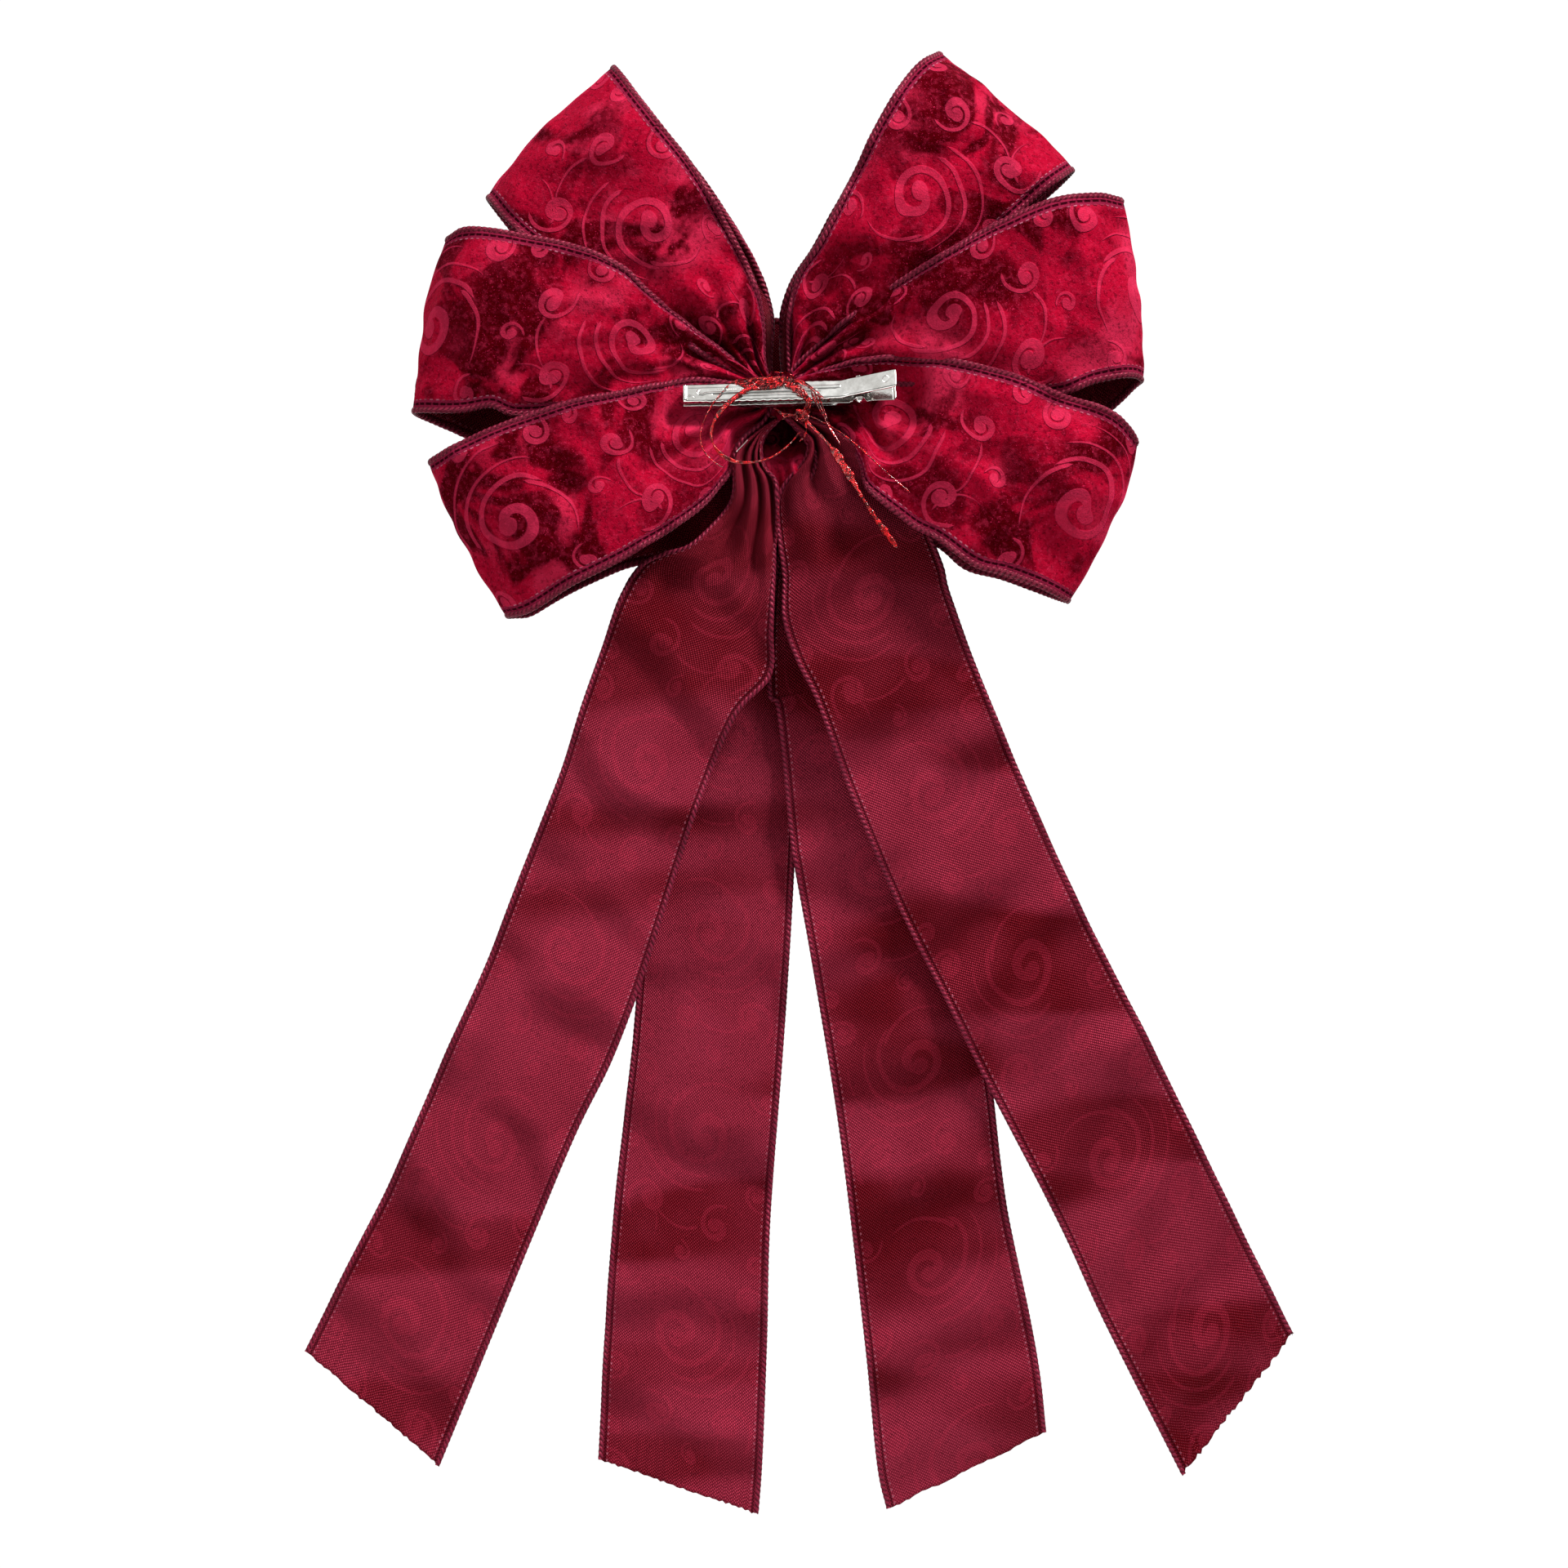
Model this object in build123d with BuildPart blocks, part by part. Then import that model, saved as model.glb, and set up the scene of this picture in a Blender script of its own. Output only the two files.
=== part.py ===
"""Six-loop velvet gift bow with four tails, a foil tie and a spring clip on its back.

Frame: +Z up (the bow hangs as it is used), the front of the bow faces +Y and its back, with the
clip, faces -Y. The origin is the clip's grip point, in the plane where the two jaws meet.
"""
from build123d import *
from math import acos, cos, hypot, radians, sin, tan
import os

os.makedirs("parts", exist_ok=True)

# ---------------------------------------------------------------- driving dimensions (mm)
ribbon_width = 63.5          # 2.5 inch wired ribbon
web_thickness = 1.0          # pile plus backing
hem_thickness = 2.4          # rolled, wired hem
hem_width = 2.6
sector_half_angle = 17.5     # half angle of the gathered part of a loop, seen from the back
waist_radius = 13.0
waist_back = 6.5
waist_front = 37.0
# name, direction seen from the back (degrees from +X toward +Z), centre to fold length
loop_table = [
    ("loop_upper_left", 131.1, 138.0),
    ("loop_middle_left", 168.4, 140.0),
    ("loop_lower_left", 205.0, 134.0),
    ("loop_upper_right", 51.6, 143.5),
    ("loop_middle_right", 16.0, 143.0),
    ("loop_lower_right", -21.7, 135.0),
]
loop_back_y = -10.0          # furthest bulge of the back layer
loop_front_y = 35.0          # furthest bulge of the front layer
centre_loop_depth = 40.0
centre_loop_width = 42.0
centre_loop_mid_z = 7.0
# clip: a sheet-metal alligator clip, lengths along its own axis
clip_slope = 1.6             # degrees, the clip rises a little toward +X
clip_roll = 26.0             # degrees, its outer face leans up
clip_tip_x = -37.5
pin_x = 30.8
pin_z = 0.4
clip_end_x = 45.0
jaw_half_width = 4.2
lever_half_width = 3.7
sheet = 0.6
pin_radius = 0.9
lever_bore_radius = 0.96

# ---------------------------------------------------------------- helpers


def back_view(direction):
    """Plane seen from the back: local x runs along the direction, local y across it, normal -Y."""
    a = radians(direction)
    return Plane(origin=(0, 0, 0), x_dir=(cos(a), 0, sin(a)), z_dir=(0, -1, 0))


def side_view(direction):
    """Plane through the direction and Y: local x runs along the direction, local y is +Y."""
    a = radians(direction)
    return Plane(origin=(0, 0, 0), x_dir=(cos(a), 0, sin(a)), z_dir=(-sin(a), 0, cos(a)))


def offset_points(points, distance):
    """The points moved sideways by a distance, square to the line through their neighbours."""
    moved = []
    for i, (x, y) in enumerate(points):
        x0, y0 = points[max(i - 1, 0)]
        x1, y1 = points[min(i + 1, len(points) - 1)]
        length = hypot(x1 - x0, y1 - y0)
        moved.append((x - distance * (y1 - y0) / length, y + distance * (x1 - x0) / length))
    return moved


def band_outline(points, thickness):
    """The outline of a band of even thickness along a smooth line through the points."""
    left = offset_points(points, thickness / 2)
    right = offset_points(points, -thickness / 2)
    Spline(*left)
    Line(left[-1], right[-1])
    Spline(*right[::-1])
    Line(right[0], left[0])


def loop_line(length):
    """Side view of a puffed loop: out along the back layer, round the fold, back along the front."""
    b = loop_back_y
    f = loop_front_y
    return [
        (waist_radius - 3, 11.0),
        (waist_radius + 8, 10.2),
        (40, 8.0),
        (60, 1.5),
        (80, b + 2.5),
        (98, b + 0.5),
        (115, b + 2.5),
        (length - 9, 1.0),
        (length - 0.6, 13.0),
        (length - 9, f - 10.0),
        (110, f - 2.0),
        (88, f - 0.5),
        (64, f - 4.0),
        (40, f - 11.0),
        (waist_radius + 8, 21.0),
        (waist_radius - 3, 19.5),
    ]


# ---------------------------------------------------------------- waist
with BuildPart() as gathered_waist:
    with BuildSketch(Plane.XZ.offset(-waist_back)):
        Circle(waist_radius)
    extrude(amount=-(waist_front - waist_back))
gathered_waist.part.label = "gathered_waist"
export_step(gathered_waist.part, "parts/gathered_waist.step")

# ---------------------------------------------------------------- six loops
for name, direction, length in loop_table:
    spread = tan(radians(sector_half_angle))
    half = ribbon_width / 2
    full_at = half / spread
    root = waist_radius - 4
    outline = [
        (root, -root * spread),
        (full_at, -half),
        (length + 10, -half),
        (length + 10, half),
        (full_at, half),
        (root, root * spread),
    ]
    inset = hem_width / cos(radians(sector_half_angle))
    inner_full = (half - hem_width + inset) / spread
    inner = [
        (root, -root * spread + inset),
        (inner_full, -half + hem_width),
        (length + 20, -half + hem_width),
        (length + 20, half - hem_width),
        (inner_full, half - hem_width),
        (root, root * spread - inset),
    ]
    start = inset / spread + 0.5
    inner[0] = (start, -(start * spread - inset))
    inner[-1] = (start, start * spread - inset)
    with BuildPart() as web:
        with BuildSketch(side_view(direction)):
            with BuildLine():
                band_outline(loop_line(length), web_thickness)
            make_face()
        extrude(amount=half + 5, both=True)
        with BuildSketch(back_view(direction)):
            Polygon(*inner, align=None)
            Circle(waist_radius, mode=Mode.SUBTRACT)
        extrude(amount=120, both=True, mode=Mode.INTERSECT)
    web.part.label = name
    export_step(web.part, f"parts/{name}.step")
    with BuildPart() as hem:
        with BuildSketch(side_view(direction)):
            with BuildLine():
                band_outline(loop_line(length), hem_thickness)
            make_face()
        extrude(amount=half + 5, both=True)
        with BuildSketch(back_view(direction)):
            Polygon(*outline, align=None)
            Polygon(*inner, align=None, mode=Mode.SUBTRACT)
            Circle(waist_radius + 2.0, mode=Mode.SUBTRACT)
        extrude(amount=120, both=True, mode=Mode.INTERSECT)
    hem.part.label = name + "_hems"
    export_step(hem.part, f"parts/{name}_hems.step")

# ---------------------------------------------------------------- centre loop on the front
ring_line = [
    (-3.0, waist_front),
    (-11.0, waist_front + 3.5),
    (-centre_loop_width / 2 + 2.5, waist_front + 11),
    (-centre_loop_width / 2, waist_front + 22),
    (-13.0, waist_front + centre_loop_depth - 4),
    (0.0, waist_front + centre_loop_depth),
    (13.0, waist_front + centre_loop_depth - 4),
    (centre_loop_width / 2, waist_front + 22),
    (centre_loop_width / 2 - 2.5, waist_front + 11),
    (11.0, waist_front + 3.5),
    (3.0, waist_front),
]
z_low = centre_loop_mid_z - ribbon_width / 2
z_high = centre_loop_mid_z + ribbon_width / 2
gather_half = 8.0


def ring_sides(margin):
    """Side view (Y, Z) of the centre loop's width, narrower where it is gathered at the waist."""
    return [
        (waist_front, centre_loop_mid_z * 0.3 - gather_half + margin),
        (waist_front + 15, z_low + margin),
        (waist_front + 60, z_low + margin),
        (waist_front + 60, z_high - margin),
        (waist_front + 15, z_high - margin),
        (waist_front, centre_loop_mid_z * 0.3 + gather_half - margin),
    ]


with BuildPart() as centre_loop:
    with BuildSketch(Plane.XY):
        with BuildLine():
            band_outline(ring_line, web_thickness)
        make_face()
    extrude(amount=60, both=True)
    with BuildSketch(Plane.YZ):
        Polygon(*ring_sides(hem_width), align=None)
    extrude(amount=60, both=True, mode=Mode.INTERSECT)
centre_loop.part.label = "centre_loop"
export_step(centre_loop.part, "parts/centre_loop.step")

with BuildPart() as centre_loop_hems:
    with BuildSketch(Plane.XY):
        with BuildLine():
            band_outline(ring_line, hem_thickness)
        make_face()
    extrude(amount=60, both=True)
    with BuildSketch(Plane.YZ):
        Polygon(*ring_sides(0), align=None)
        Polygon(*ring_sides(hem_width), align=None, mode=Mode.SUBTRACT)
        with Locations((waist_front, 0)):
            Rectangle(5.0, 200, mode=Mode.SUBTRACT)
    extrude(amount=60, both=True, mode=Mode.INTERSECT)
centre_loop_hems.part.label = "centre_loop_hems"
export_step(centre_loop_hems.part, "parts/centre_loop_hems.step")

# ---------------------------------------------------------------- four tails
# name, mean depth y, stations along the tail (x, z, half width), cut end (left x, z), (right x, z)
tail_table = [
    (
        "tail_outer_left",
        9.0,
        -112.0,
        [(-3, -9, 2.5), (-9, -22, 5), (-15, -42, 11), (-25, -62, 24), (-35, -84, 30),
         (-48, -122, 31.75), (-68, -184, 31.75), (-98, -260, 31.75), (-131, -332, 31.75),
         (-150, -370, 31.75)],
        (-185.5, -373.0),
        (-133.0, -417.5),
    ),
    (
        "tail_inner_left",
        20.5,
        -96.0,
        [(-1, -9, 3), (-4, -30, 8), (-9, -55, 17), (-13, -80, 25), (-18, -118, 31),
         (-24, -184, 31.75), (-30, -260, 31.75), (-35, -330, 31.75), (-38, -395, 31.75)],
        (-71.5, -417.5),
        (-8.5, -439.5),
    ),
    (
        "tail_inner_right",
        14.8,
        -80.0,
        [(1, -9, 3), (6, -30, 8), (13, -55, 17), (21, -80, 25), (29, -118, 31),
         (38, -174, 31.75), (46, -228, 31.75), (55, -291, 31.75), (66, -362, 31.75)],
        (42.0, -436.5),
        (104.5, -405.5),
    ),
    (
        "tail_outer_right",
        9.0,
        -65.0,
        [(4, -9, 2.5), (13, -20, 5), (20, -38, 12), (30, -58, 23), (37, -84, 30),
         (47, -117, 31.75), (65, -161, 31.75), (84, -203, 31.75), (112, -260, 31.75),
         (156, -350, 31.75)],
        (157.0, -422.0),
        (200.5, -365.5),
    ),
]


def tail_edges(stations, left_end, right_end, inset):
    """Left and right edge points of a tail, both from the waist to the cut end."""
    centres = [(x, z) for x, z, half in stations]
    left = []
    right = []
    for i, (x, z, half) in enumerate(stations):
        x0, z0 = centres[max(i - 1, 0)]
        x1, z1 = centres[min(i + 1, len(centres) - 1)]
        length = hypot(x1 - x0, z1 - z0)
        nx = (z1 - z0) / length
        nz = -(x1 - x0) / length
        w = max(half - inset, 0.8)
        left.append((x + nx * w, z + nz * w))
        right.append((x - nx * w, z - nz * w))
    span = hypot(right_end[0] - left_end[0], right_end[1] - left_end[1])
    ux = (right_end[0] - left_end[0]) / span
    uz = (right_end[1] - left_end[1]) / span
    left.append((left_end[0] + ux * inset, left_end[1] + uz * inset))
    right.append((right_end[0] - ux * inset, right_end[1] - uz * inset))
    return left, right


def tail_outline(stations, left_end, right_end, inset):
    """Outline of a tail seen from the back."""
    left, right = tail_edges(stations, left_end, right_end, inset)
    Spline(*left)
    Line(left[-1], right[-1])
    Spline(*right[::-1])
    Line(right[0], left[0])


def tail_line(mean_y, length):
    """Side view of a tail: it leaves the waist and hangs with shallow waves."""
    points = []
    count = 13
    for i in range(count):
        r = waist_radius - 6 + (length - waist_radius + 6) * i / (count - 1)
        points.append((r, mean_y + 1.6 * sin(i * 1.3)))
    return points


for name, mean_y, direction, stations, left_end, right_end in tail_table:
    reach = 470.0
    for part_name, inset, thickness in [(name, hem_width, web_thickness), (name + "_hems", 0, hem_thickness)]:
        with BuildPart() as tail:
            with BuildSketch(side_view(direction)):
                with BuildLine():
                    band_outline(tail_line(mean_y, reach), thickness)
                make_face()
            extrude(amount=150, both=True)
            with BuildSketch(Plane.XZ):
                with BuildLine():
                    tail_outline(stations, left_end, right_end, inset)
                make_face()
                Circle(waist_radius, mode=Mode.SUBTRACT)
            extrude(amount=120, both=True, mode=Mode.INTERSECT)
            if inset == 0:
                with BuildSketch(Plane.XZ):
                    with BuildLine():
                        tail_outline(stations, left_end, right_end, hem_width)
                    make_face()
                extrude(amount=120, both=True, mode=Mode.SUBTRACT)
                with BuildSketch(Plane.XZ):
                    Circle(waist_radius + 2.6)
                extrude(amount=120, both=True, mode=Mode.SUBTRACT)
        tail.part.label = part_name
        export_step(tail.part, f"parts/{part_name}.step")

# ---------------------------------------------------------------- clip
slope = radians(clip_slope)
roll = radians(clip_roll)
axis_x = Vector(cos(slope), 0, sin(slope))
outward = Vector(sin(slope) * -sin(roll), -cos(roll), sin(roll) * cos(slope))
clip_plane = Plane(origin=(0, 0, 0), x_dir=axis_x, z_dir=outward)
across = clip_plane.y_dir


def clip_side(shift):
    """Side view of the clip at a distance across it: local x along the clip, local y outward."""
    return Plane(origin=across * shift, x_dir=axis_x, z_dir=axis_x.cross(clip_plane.z_dir))


with BuildPart() as clip_base_jaw:
    with BuildSketch(clip_side(0)):
        Polygon((clip_tip_x, -3.5), (33.0, -3.5), (36.5, -1.4), (clip_end_x, -1.0),
                (clip_end_x, 0.8), (clip_end_x - sheet, 0.8), (clip_end_x - sheet, -0.4),
                (36.3, -0.8), (32.8, -2.9), (clip_tip_x + sheet, -2.9),
                (clip_tip_x + sheet, -0.3), (clip_tip_x, -0.3), align=None)
    extrude(amount=jaw_half_width, both=True)
    for side in (-1, 1):
        with BuildSketch(clip_side(side * (jaw_half_width - sheet / 2))):
            Polygon((clip_tip_x, -3.4), (34.0, -3.4), (34.0, -0.3), (33.0, 1.6), (31.8, 2.4),
                    (29.8, 2.4), (28.6, 1.6), (28.0, -0.3), (clip_tip_x, -0.3), align=None)
            Polygon((16.0, -2.9), (27.4, -2.9), (25.6, -0.9), (23.6, 1.0), (19.8, 1.0),
                    (17.8, -0.9), align=None, mode=Mode.SUBTRACT)
            with Locations((pin_x, pin_z)):
                Circle(pin_radius, mode=Mode.SUBTRACT)
        extrude(amount=sheet / 2, both=True)
clip_base_jaw.part.label = "clip_base_jaw"
export_step(clip_base_jaw.part, "parts/clip_base_jaw.step")

lever_ear_outer = 3.1
with BuildPart() as clip_lever_jaw:
    with BuildSketch(clip_side(0)):
        Polygon((clip_tip_x, 2.0), (24.0, 2.0), (clip_end_x - 0.6, 9.0), (clip_end_x - 0.8, 9.6),
                (23.8, 2.6), (clip_tip_x, 2.6), align=None)
    extrude(amount=lever_half_width, both=True)
    for side in (-1, 1):
        with BuildSketch(clip_side(side * (lever_half_width - sheet / 2))):
            Polygon((clip_tip_x, 2.1), (clip_tip_x, 0.3), (14.0, 0.3), (20.0, 1.4), (22.0, 2.1), align=None)
        extrude(amount=sheet / 2, both=True)
        with BuildSketch(clip_side(side * (lever_ear_outer - sheet / 2))):
            Polygon((pin_x - 5.0, 2.9), (pin_x - 2.0, pin_z), (pin_x + 2.0, pin_z),
                    (pin_x + 5.0, 6.3), align=None)
            with Locations((pin_x, pin_z)):
                Circle(2.0)
            with Locations((pin_x, pin_z)):
                Circle(lever_bore_radius, mode=Mode.SUBTRACT)
        extrude(amount=sheet / 2, both=True)
clip_lever_jaw.part.label = "clip_lever_jaw"
export_step(clip_lever_jaw.part, "parts/clip_lever_jaw.step")

with BuildPart() as clip_pin:
    with BuildSketch(clip_side(0)):
        with Locations((pin_x, pin_z)):
            Circle(pin_radius)
    extrude(amount=jaw_half_width + 0.7, both=True)
    for side in (-1, 1):
        with BuildSketch(clip_side(side * (jaw_half_width + 0.35))):
            with Locations((pin_x, pin_z)):
                Circle(1.5)
        extrude(amount=0.35, both=True)
clip_pin.part.label = "clip_pin"
export_step(clip_pin.part, "parts/clip_pin.step")

coil_radius = 1.55
spring_wire = 0.5
spring_turns = 5
spring_span = 4.0
pin_centre = axis_x * pin_x + clip_plane.z_dir * pin_z
with BuildPart() as clip_spring:
    with BuildLine():
        coil = Helix(
            pitch=spring_span / spring_turns,
            height=spring_span,
            radius=coil_radius,
            center=pin_centre - across * (spring_span / 2),
            direction=across,
        )
    with BuildSketch(Plane(origin=coil @ 0, z_dir=coil % 0)):
        Circle(spring_wire / 2)
    sweep(is_frenet=True)
clip_spring.part.label = "clip_spring"
export_step(clip_spring.part, "parts/clip_spring.step")

# ---------------------------------------------------------------- foil tie


def clip_point(x, y, z):
    """A point given along the clip, across it and outward from it."""
    p = axis_x * x + across * y + clip_plane.z_dir * z
    return (p.X, p.Y, p.Z)


# the string wound round the gathered ribbons, and the wad of it between waist and clip
saddle_start = -17.0
strap_x = 19.0
strap_width = 1.8
with BuildPart() as tie_band:
    with BuildSketch(Plane.XZ.offset(-waist_back)):
        Circle(waist_radius + 2.2)
        Circle(waist_radius, mode=Mode.SUBTRACT)
    extrude(amount=-2.2)
tie_band.part.label = "tie_band"
export_step(tie_band.part, "parts/tie_band.step")

# wad of string that the clip's fixed jaw is lashed against, cut flush with the waist
with BuildPart() as tie_saddle:
    with BuildSketch(clip_plane.offset(-3.5)):
        with Locations(((saddle_start + strap_x - strap_width / 2) / 2, -1.0)):
            Rectangle(strap_x - strap_width / 2 - saddle_start, 6.0)
    extrude(amount=-7.0)
    with BuildSketch(Plane.XZ.offset(-waist_back)):
        Circle(200)
    extrude(amount=-60, mode=Mode.SUBTRACT)
tie_saddle.part.label = "tie_saddle"
export_step(tie_saddle.part, "parts/tie_saddle.step")

# the turn of string that holds the clip's fixed jaw: through the cut-outs in its side walls
with BuildPart() as tie_lashing:
    with BuildSketch(Plane(origin=axis_x * strap_x, x_dir=across, z_dir=axis_x)):
        with Locations((0, -3.35)):
            Rectangle(10.8, 2.9)
        with Locations((0, -3.2)):
            Rectangle(8.4, 0.6, mode=Mode.SUBTRACT)
    extrude(amount=strap_width / 2, both=True)
tie_lashing.part.label = "tie_lashing"
export_step(tie_lashing.part, "parts/tie_lashing.step")

with BuildPart() as tie_knot:
    with Locations((8.0, -1.6, -9.4)):
        Sphere(2.6)
    with Locations((9.8, -1.6, -8.8)):
        Sphere(2.0)
    with BuildSketch(Plane.XZ.offset(1.6)):
        with Locations((7.4, -9.0)):
            Circle(1.5)
    extrude(amount=-(waist_back + 1.6))
tie_knot.part.label = "tie_knot"
export_step(tie_knot.part, "parts/tie_knot.step")

# strands laid over the moving jaw's face, they stay on it when it opens
with BuildPart() as tie_crossing:
    with BuildSketch(clip_plane.offset(2.6)):
        Polygon((-21.0, 3.6), (-21.0, 2.4), (2.0, 1.6), (8.6, -3.6), (13.0, -3.6), (6.0, 3.6), align=None)
    extrude(amount=1.2)
tie_crossing.part.label = "tie_crossing"
export_step(tie_crossing.part, "parts/tie_crossing.step")

face = 2.6
tie_routes = [
    (
        "tie_loop_wide",
        1.6,
        [clip_point(-9.0, 2.6, face + 0.9), clip_point(-18.0, -3.4, face + 1.5),
         (-26.0, -6.9, -11.0), (-27.0, -7.6, -19.5), (-21.0, -7.4, -26.5), (-11.0, -6.6, -28.0),
         (1.0, -6.0, -24.0), (8.0, -5.6, -15.5)],
    ),
    (
        "tie_loop_thin",
        0.6,
        [clip_point(-19.5, 2.9, face + 0.6), clip_point(-24.0, -2.4, face + 1.0),
         (-29.6, -6.0, -10.5), (-31.2, -7.4, -18.5), (-28.5, -7.8, -25.5), (-22.0, -8.4, -29.5)],
    ),
    (
        "tie_tail_foil",
        2.4,
        [(9.4, -2.8, -10.4), (18.0, -8.0, -18.5), (26.0, -12.6, -31.0), (34.0, -16.0, -46.0),
         (45.0, -17.0, -61.0)],
    ),
    (
        "tie_tail_thin",
        0.6,
        [(10.8, -2.6, -8.8), (20.0, -6.8, -13.0), (30.0, -11.0, -21.0), (40.0, -14.0, -31.0),
         (50.0, -15.4, -39.5)],
    ),
]
for name, diameter, points in tie_routes:
    vectors = [Vector(*p) for p in points]
    runs = [(b - a).length for a, b in zip(vectors, vectors[1:])]
    radii = []
    for i in range(1, len(vectors) - 1):
        before = (vectors[i] - vectors[i - 1]).normalized()
        after = (vectors[i + 1] - vectors[i]).normalized()
        turn = acos(max(-1.0, min(1.0, before.dot(after))))
        radii.append(0.45 * min(runs[i - 1], runs[i]) / tan(turn / 2))
    with BuildPart() as strand:
        with BuildLine() as strand_line:
            FilletPolyline(*points, radius=radii)
        along = strand_line.wires()[0]
        with BuildSketch(Plane(origin=along @ 0, z_dir=along % 0)):
            Circle(diameter / 2)
        sweep()
    section = 3.141593 * diameter**2 / 4
    print(name, "length", round(along.length, 2), "radii", [round(r, 1) for r in radii])
    print(name, "volume", round(strand.part.volume, 3), "expected", round(section * along.length, 3))
    strand.part.label = name
    export_step(strand.part, f"parts/{name}.step")
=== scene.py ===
"""The visual model of a pre-made velvet gift bow, built round the frame's CAD nodes.

Shapes are worked out in millimetres, with the clip's grip point at the origin, +Z up as the bow
hangs and +Y toward the bow's front, and are scaled to metres when a mesh is made."""

import math

import bpy
import numpy as np
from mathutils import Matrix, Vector


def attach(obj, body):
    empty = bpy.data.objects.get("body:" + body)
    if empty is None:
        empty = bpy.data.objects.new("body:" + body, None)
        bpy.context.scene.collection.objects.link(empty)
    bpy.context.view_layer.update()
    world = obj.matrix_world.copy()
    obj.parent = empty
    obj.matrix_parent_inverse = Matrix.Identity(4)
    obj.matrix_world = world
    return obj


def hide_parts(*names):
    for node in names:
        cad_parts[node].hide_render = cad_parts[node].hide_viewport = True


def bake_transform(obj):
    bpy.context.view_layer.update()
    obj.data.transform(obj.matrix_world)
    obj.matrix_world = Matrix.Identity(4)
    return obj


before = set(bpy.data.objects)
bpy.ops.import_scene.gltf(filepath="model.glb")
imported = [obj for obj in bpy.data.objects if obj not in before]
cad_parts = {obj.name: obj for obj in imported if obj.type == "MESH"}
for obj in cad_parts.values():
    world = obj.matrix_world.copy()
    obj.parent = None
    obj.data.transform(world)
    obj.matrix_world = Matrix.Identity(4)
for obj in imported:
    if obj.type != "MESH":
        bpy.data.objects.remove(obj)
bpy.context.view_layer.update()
MM = 0.001
RIBBON = 63.5  # the ribbon's width
HALF = RIBBON / 2
CLOTH = 0.7  # the ribbon's thickness, pile and all
TURN = 2 * math.pi
COLL = bpy.context.scene.collection

# ---- camera
cam_data = bpy.data.cameras.new("camera")
cam_data.lens = 88.6
cam_data.sensor_width = 36.0
camera = bpy.data.objects.new("camera", cam_data)
COLL.objects.link(camera)
camera.location = (0.0016, -1.5, -0.1518)
camera.rotation_euler = (math.pi / 2, 0, 0)
bpy.context.scene.camera = camera
bpy.context.scene.view_settings.view_transform = "Standard"


# ---- small geometry helpers
def unit(a):
    """Vectors scaled to length one."""
    return a / np.maximum(np.linalg.norm(a, axis=-1, keepdims=True), 1e-9)


def run_along(line):
    """Distance along a line of points, from 0 at its start."""
    return np.concatenate([[0], np.cumsum(np.linalg.norm(np.diff(line, axis=0), axis=1))])


def line_length(line):
    return float(np.linalg.norm(np.diff(line, axis=0), axis=1).sum())


def read_at(at, places, values):
    """Rows of values, known at the given places, read off in between."""
    return np.stack([np.interp(at, places, values[:, k]) for k in range(values.shape[1])], -1)


def at_fraction(line, s):
    """Points of an evenly sampled line at fractions of its length."""
    return read_at(s, np.linspace(0, 1, len(line)), line)


def smooth_line(points, count):
    """A Catmull-Rom curve through the points, resampled evenly along its length."""
    p = np.array(points, float)
    p = np.vstack([2 * p[0] - p[1], p, 2 * p[-1] - p[-2]])
    t = np.linspace(0, 1, 24, endpoint=False)[:, None]
    out = []
    for a, b, c, d in zip(p[:-3], p[1:-2], p[2:-1], p[3:]):
        cubic = 2 * b + (c - a) * t + (2 * a - 5 * b + 4 * c - d) * t**2 + (3 * b - a - 3 * c + d) * t**3
        out.append(0.5 * cubic)
    fine = np.vstack(out + [p[-2][None]])
    run = run_along(fine)
    return read_at(np.linspace(0, run[-1], count), run, fine)


def ramp(x, low, high):
    """Smooth step from 0 at low to 1 at high."""
    t = np.clip((x - low) / (high - low), 0, 1)
    return t * t * (3 - 2 * t)


def wobble(u, v, seed, size):
    """Smooth seeded noise over a surface, about -1 to 1, with bumps of the given size."""
    rng = np.random.default_rng(seed)
    total = np.zeros(np.broadcast(u, v).shape)
    for _ in range(9):
        a = rng.uniform(0, TURN)
        f = TURN / size * rng.uniform(0.6, 1.5)
        total = total + np.sin(f * (u * math.cos(a) + v * math.sin(a)) + rng.uniform(0, 6.3))
    return total / 3.4


def spread(rows, columns):
    """Two grids: a value per row repeated across, and a value per column repeated down."""
    return np.repeat(rows[:, None], len(columns), 1), np.repeat(columns[None], len(rows), 0)


def make_mesh(name, verts, faces, mats, uvs, mat_ids=None):
    """A smooth-shaded mesh object from points in millimetres."""
    mesh = bpy.data.meshes.new(name)
    mesh.from_pydata((np.asarray(verts) * MM).tolist(), [], [tuple(int(i) for i in f) for f in faces])
    for mat in mats:
        mesh.materials.append(mat)
    if mat_ids is not None:
        mesh.polygons.foreach_set("material_index", np.asarray(mat_ids, dtype=np.int32))
    layer = mesh.uv_layers.new(name="UVMap")
    corners = np.empty(len(mesh.loops), dtype=np.int32)
    mesh.loops.foreach_get("vertex_index", corners)
    layer.data.foreach_set("uv", np.asarray(uvs, dtype=np.float32)[corners].ravel())
    mesh.polygons.foreach_set("use_smooth", np.full(len(mesh.polygons), True))
    mesh.validate()
    mesh.update()
    obj = bpy.data.objects.new(name, mesh)
    COLL.objects.link(obj)
    return obj


def fit(piece, node, body):
    """Hides the CAD node a piece stands in for and attaches the piece to the body it rides on."""
    if node:
        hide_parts(node)
    if body:
        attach(piece, body)
    return piece


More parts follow.
